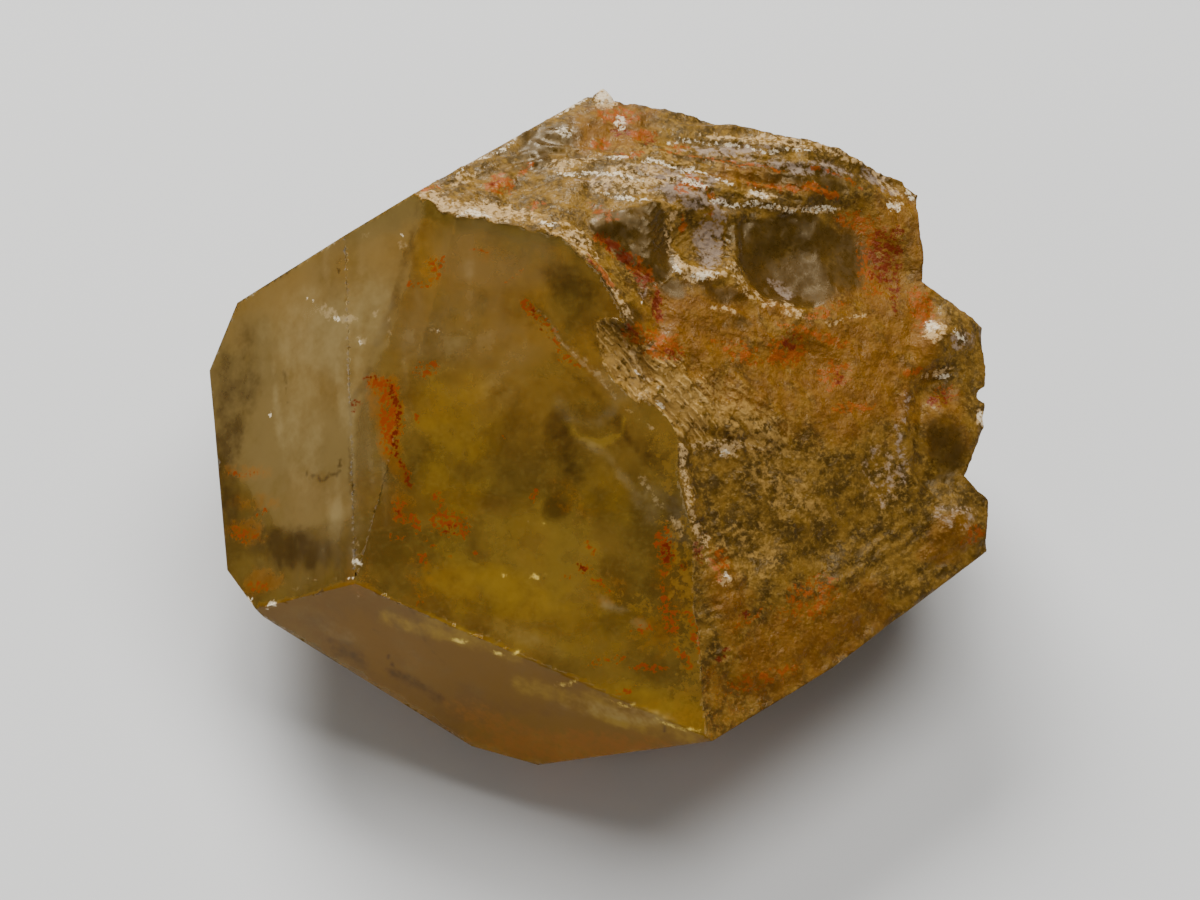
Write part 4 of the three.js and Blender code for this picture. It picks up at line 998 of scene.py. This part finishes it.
# healed cracks: place and half-sizes in mm as the photo sees them, with how they turn, dip and bend
veils = {
    "pitch": 0.3,        # mm between their points
    "ragged": 0.45,      # how uneven their outlines are
    "fade": 2.5,         # how quickly they fade towards these
    "grain": 900,
    "wisps": (0.42, 0.66, 0.05),    # noise at which the wisps start and are full, and what is left between
    "roughness": 0.3,
    "color": (0.62, 0.44, 0.17, 1),
    "alpha": 0.6,
    "faintest": 0.15,    # what fades below this is left out
    "sheets": [
        {"at": (-0.1, 1.2, 7.6), "half": (1.7, 1.3), "turn": -25, "dip": 35, "bow": 0.5, "wave": 0.12},
        {"at": (-1.4, 2.6, 7.4), "half": (3.6, 1.8), "turn": -46, "dip": 55, "bow": 0.2, "wave": 0.2},
        {"at": (-10.2, 1.6, 5.6), "half": (5.6, 1.8), "turn": 86, "dip": 62, "bow": 0.1, "wave": 0.3},
        {"at": (-11.6, 5.6, 5.2), "half": (1.9, 1.0), "turn": -18, "dip": 20, "bow": 0.2, "wave": 0.2},
        {"at": (-3.2, -6.2, 7.0), "half": (4.4, 1.8), "turn": -14, "dip": 40, "bow": 0.3, "wave": 0.3},
        {"at": (-3.6, -9.2, 4.6), "half": (4.6, 1.0), "turn": -24, "dip": -30, "bow": 0.1, "wave": 0.2},
        {"at": (2.6, -6.4, 6.2), "half": (2.6, 1.6), "turn": -64, "dip": 40, "bow": 0.2, "wave": 0.3},
        {"at": (-6.2, 5.6, 6.4), "half": (3.0, 1.4), "turn": 62, "dip": 50, "bow": 0.2, "wave": 0.3},
    ],
}


def addSheet(bm, fade, at, half, turn, dip, bow, wave):
    cells = [max(4, int(2 * h / veils["pitch"])) for h in half]
    place = Matrix.Rotation(math.radians(turn), 3, "Z") @ Matrix.Rotation(math.radians(dip), 3, "X")
    corners = []
    for i in range(cells[0] + 1):
        for j in range(cells[1] + 1):
            a, b = 2 * i / cells[0] - 1, 2 * j / cells[1] - 1
            local = Vector((a * half[0], b * half[1], bow * (a * a + b * b)))
            local.z += wave * noise.noise(local * 0.7 + Vector(at))
            seen = place @ local + Vector(at)
            v = bm.verts.new(heart + Matrix.Rotation(viewTilt, 3, "X") @ seen * mm)
            away = math.hypot(a, b) + veils["ragged"] * noise.noise(local * 0.9 + Vector(at) * 2)
            v[fade] = max(0.0, min(1.0, (1.0 - away) * veils["fade"]))
            corners.append(v)
    rows = cells[1] + 1
    for i in range(cells[0]):
        for j in range(cells[1]):
            k = i * rows + j
            four = [corners[k], corners[k + rows], corners[k + rows + 1], corners[k + 1]]
            if max(v[fade] for v in four) > veils["faintest"]:
                bm.faces.new(four)


bm = bmesh.new()
fade = bm.verts.layers.float.new("fade")
for sheet in veils["sheets"]:
    addSheet(bm, fade, **sheet)
bmesh.ops.delete(bm, geom=[v for v in bm.verts if not v.link_faces], context="VERTS")
veilMesh = bpy.data.meshes.new("healedCracks")
bm.to_mesh(veilMesh)
bm.free()
veilMesh.polygons.foreach_set("use_smooth", np.ones(len(veilMesh.polygons), dtype=bool))
healedCracks = bpy.data.objects.new("healedCracks", veilMesh)
bpy.context.scene.collection.objects.link(healedCracks)
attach(healedCracks, "root")

crackMaterial = bpy.data.materials.new("healedCrack")
crackMaterial.use_nodes = True
tree = crackMaterial.node_tree
tree.nodes.clear()
where = makeNode(tree, "TexCoord").outputs["Object"]
crackSurface = makeNode(tree, "BsdfPrincipled", Roughness=veils["roughness"])
crackSurface.inputs["Base Color"].default_value = veils["color"]
wispGrain = grainNode(tree, where, veils["grain"], roughness=0.7)
wisps = mapRange(tree, wispGrain, *veils["wisps"], veils["alpha"])
link(tree, math2(tree, "MULTIPLY", wisps, maskOf(tree, "fade")), crackSurface.inputs["Alpha"])
link(tree, crackSurface.outputs[0], makeNode(tree, "OutputMaterial").inputs["Surface"])
veilMesh.materials.append(crackMaterial)

print("stage: studio")

studio = {
    "cameraDistance": 230 * mm,
    "fieldWidth": 55.6 * mm,    # across the heart
    "sensor": 36,               # mm
    "clipFrom": 10 * mm,
    "floorColor": (0.60, 0.60, 0.59, 1),
    "floorRoughness": 0.7,
    "floorSize": 3,             # m
    "skyColor": (1, 0.98, 0.95, 1),
    "skyStrength": 0.22,
    "lights": [                 # name, place, size in m, power in W
        ("backLight", (-0.12, 0.35, 0.36), 0.30, 4.2),
        ("topLight", (0.12, 0.05, 0.5), 0.35, 2.2),
        ("fillLight", (-0.3, -0.35, 0.3), 0.30, 0.5),
    ],
}

camera = bpy.data.objects.new("camera", bpy.data.cameras.new("camera"))
bpy.context.scene.collection.objects.link(camera)
camera.location = heart + Vector(towardsInPart) * studio["cameraDistance"]
camera.rotation_euler = (viewTilt, 0, 0)
camera.data.sensor_width = studio["sensor"]
camera.data.lens = studio["sensor"] * studio["cameraDistance"] / studio["fieldWidth"]
camera.data.clip_start = studio["clipFrom"]
bpy.context.scene.camera = camera

for name, place, size, power in studio["lights"]:
    light = bpy.data.lights.new(name, "AREA")
    light.shape = "DISK"
    light.size = size
    light.energy = power
    lamp = bpy.data.objects.new(name, light)
    lamp.location = place
    lamp.rotation_euler = (heart - Vector(place)).to_track_quat("-Z", "Y").to_euler()
    bpy.context.scene.collection.objects.link(lamp)

world = bpy.data.worlds.new("studio")
bpy.context.scene.world = world
world.use_nodes = True
sky = world.node_tree.nodes["Background"]
sky.inputs["Color"].default_value = studio["skyColor"]
sky.inputs["Strength"].default_value = studio["skyStrength"]

bpy.ops.mesh.primitive_plane_add(size=studio["floorSize"], location=(0, 0, 0))
floor = bpy.context.object
floor.name = "floor"
paper = bpy.data.materials.new("paleFloor")
paper.use_nodes = True
matt = paper.node_tree.nodes["Principled BSDF"]
matt.inputs["Base Color"].default_value = studio["floorColor"]
matt.inputs["Roughness"].default_value = studio["floorRoughness"]
floor.data.materials.append(paper)

# how often light may turn: a stone this cloudy needs no more
cycles = bpy.context.scene.cycles
cycles.max_bounces = 9
cycles.transmission_bounces = 8
cycles.glossy_bounces = 3
cycles.diffuse_bounces = 2
